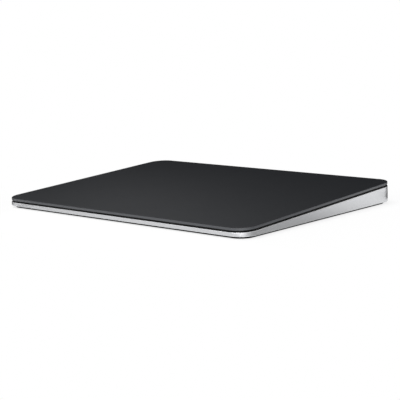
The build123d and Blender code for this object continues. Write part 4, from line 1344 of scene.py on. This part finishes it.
    def card(self, name, middle, half, low_strength, high_strength):
        """Glowing card that only mirrored rays see, which paints a reflection into the metal and glass:
        dark at a strength of 0, a highlight above 1. It may be paler towards one end.
        """
        shown = bpy.data.materials.new(name)
        shown.use_nodes = True
        tree = shown.node_tree
        share = add_node(tree, "ShaderNodeTexCoord").outputs["Generated"]
        share = add_node(tree, "ShaderNodeSeparateXYZ", {0: share}).outputs["Y"]
        sockets = {"Value": share, "To Min": low_strength, "To Max": high_strength}
        strength = add_node(tree, "ShaderNodeMapRange", sockets).outputs["Result"]
        sockets = {"Color": linear("ffffff"), "Strength": strength}
        glow = add_node(tree, "ShaderNodeEmission", sockets).outputs[0]
        tree.links.new(glow, tree.nodes["Material Output"].inputs["Surface"])
        first, second = [side for side in Matrix.Diagonal(half) if side.length]
        card = add_sheet(name, Vector(middle), first, second, shown)
        card.visible_camera = False
        card.visible_diffuse = False
        card.visible_transmission = False
        card.visible_shadow = False

    def camera(self, scene, studio):
        """Camera at the photograph's angle."""
        data = bpy.data.cameras.new("photo_camera")
        data.sensor_width = self.sensor_width
        data.lens = studio.lens
        data.clip_start = self.clip_start
        data.clip_end = self.clip_end
        camera = add_object("photo_camera", data)
        turn, rise, roll = studio.azimuth, studio.elevation, studio.roll
        back = Vector((sin(turn) * cos(rise), -cos(turn) * cos(rise), sin(rise)))
        right = Vector((cos(turn), sin(turn), 0))
        up = back.cross(right)
        rolled_right = cos(roll) * right + sin(roll) * up
        rolled_up = cos(roll) * up - sin(roll) * right
        place = studio.aim_right * right + studio.aim_up * up + studio.distance * back
        axes = Matrix((rolled_right, rolled_up, back)).transposed().to_4x4()
        camera.matrix_world = Matrix.Translation(place) @ axes
        scene.camera = camera


OPERATORS = (
    TOUCHPAD_OT_glass,
    TOUCHPAD_OT_housing,
    TOUCHPAD_OT_base,
    TOUCHPAD_OT_socket,
    TOUCHPAD_OT_switch,
    TOUCHPAD_OT_plates,
    TOUCHPAD_OT_gel_pads,
    TOUCHPAD_OT_coils,
    TOUCHPAD_OT_battery,
    TOUCHPAD_OT_boards,
    TOUCHPAD_OT_cables,
    TOUCHPAD_OT_stops,
    TOUCHPAD_OT_stage,
)


class TOUCHPAD_PT_looks(bpy.types.Panel):
    """Lists the sizes, the colours and the operators"""

    bl_idname = "TOUCHPAD_PT_looks"
    bl_label = "Touch pad looks"
    bl_space_type = "VIEW_3D"
    bl_region_type = "UI"
    bl_category = "Touch pad"

    def draw(self, context):
        scene = context.scene
        for group in (scene.touchpad_sizes, scene.touchpad_colours, scene.touchpad_studio):
            box = self.layout.box()
            for name in group.__annotations__:
                box.prop(group, name)
        for operator in OPERATORS:
            self.layout.operator(operator.bl_idname)


CLASSES = (TouchPadSizes, TouchPadColours, TouchPadStudio, *OPERATORS, TOUCHPAD_PT_looks)


def register():
    for made in CLASSES:
        bpy.utils.register_class(made)
    bpy.types.Scene.touchpad_sizes = bpy.props.PointerProperty(type=TouchPadSizes)
    bpy.types.Scene.touchpad_colours = bpy.props.PointerProperty(type=TouchPadColours)
    bpy.types.Scene.touchpad_studio = bpy.props.PointerProperty(type=TouchPadStudio)


def unregister():
    del bpy.types.Scene.touchpad_studio
    del bpy.types.Scene.touchpad_colours
    del bpy.types.Scene.touchpad_sizes
    for made in reversed(CLASSES):
        bpy.utils.unregister_class(made)


def main():
    register()
    for operator in OPERATORS:
        group, name = operator.bl_idname.split(".")
        getattr(getattr(bpy.ops, group), name)()


if __name__ == "__main__":
    main()
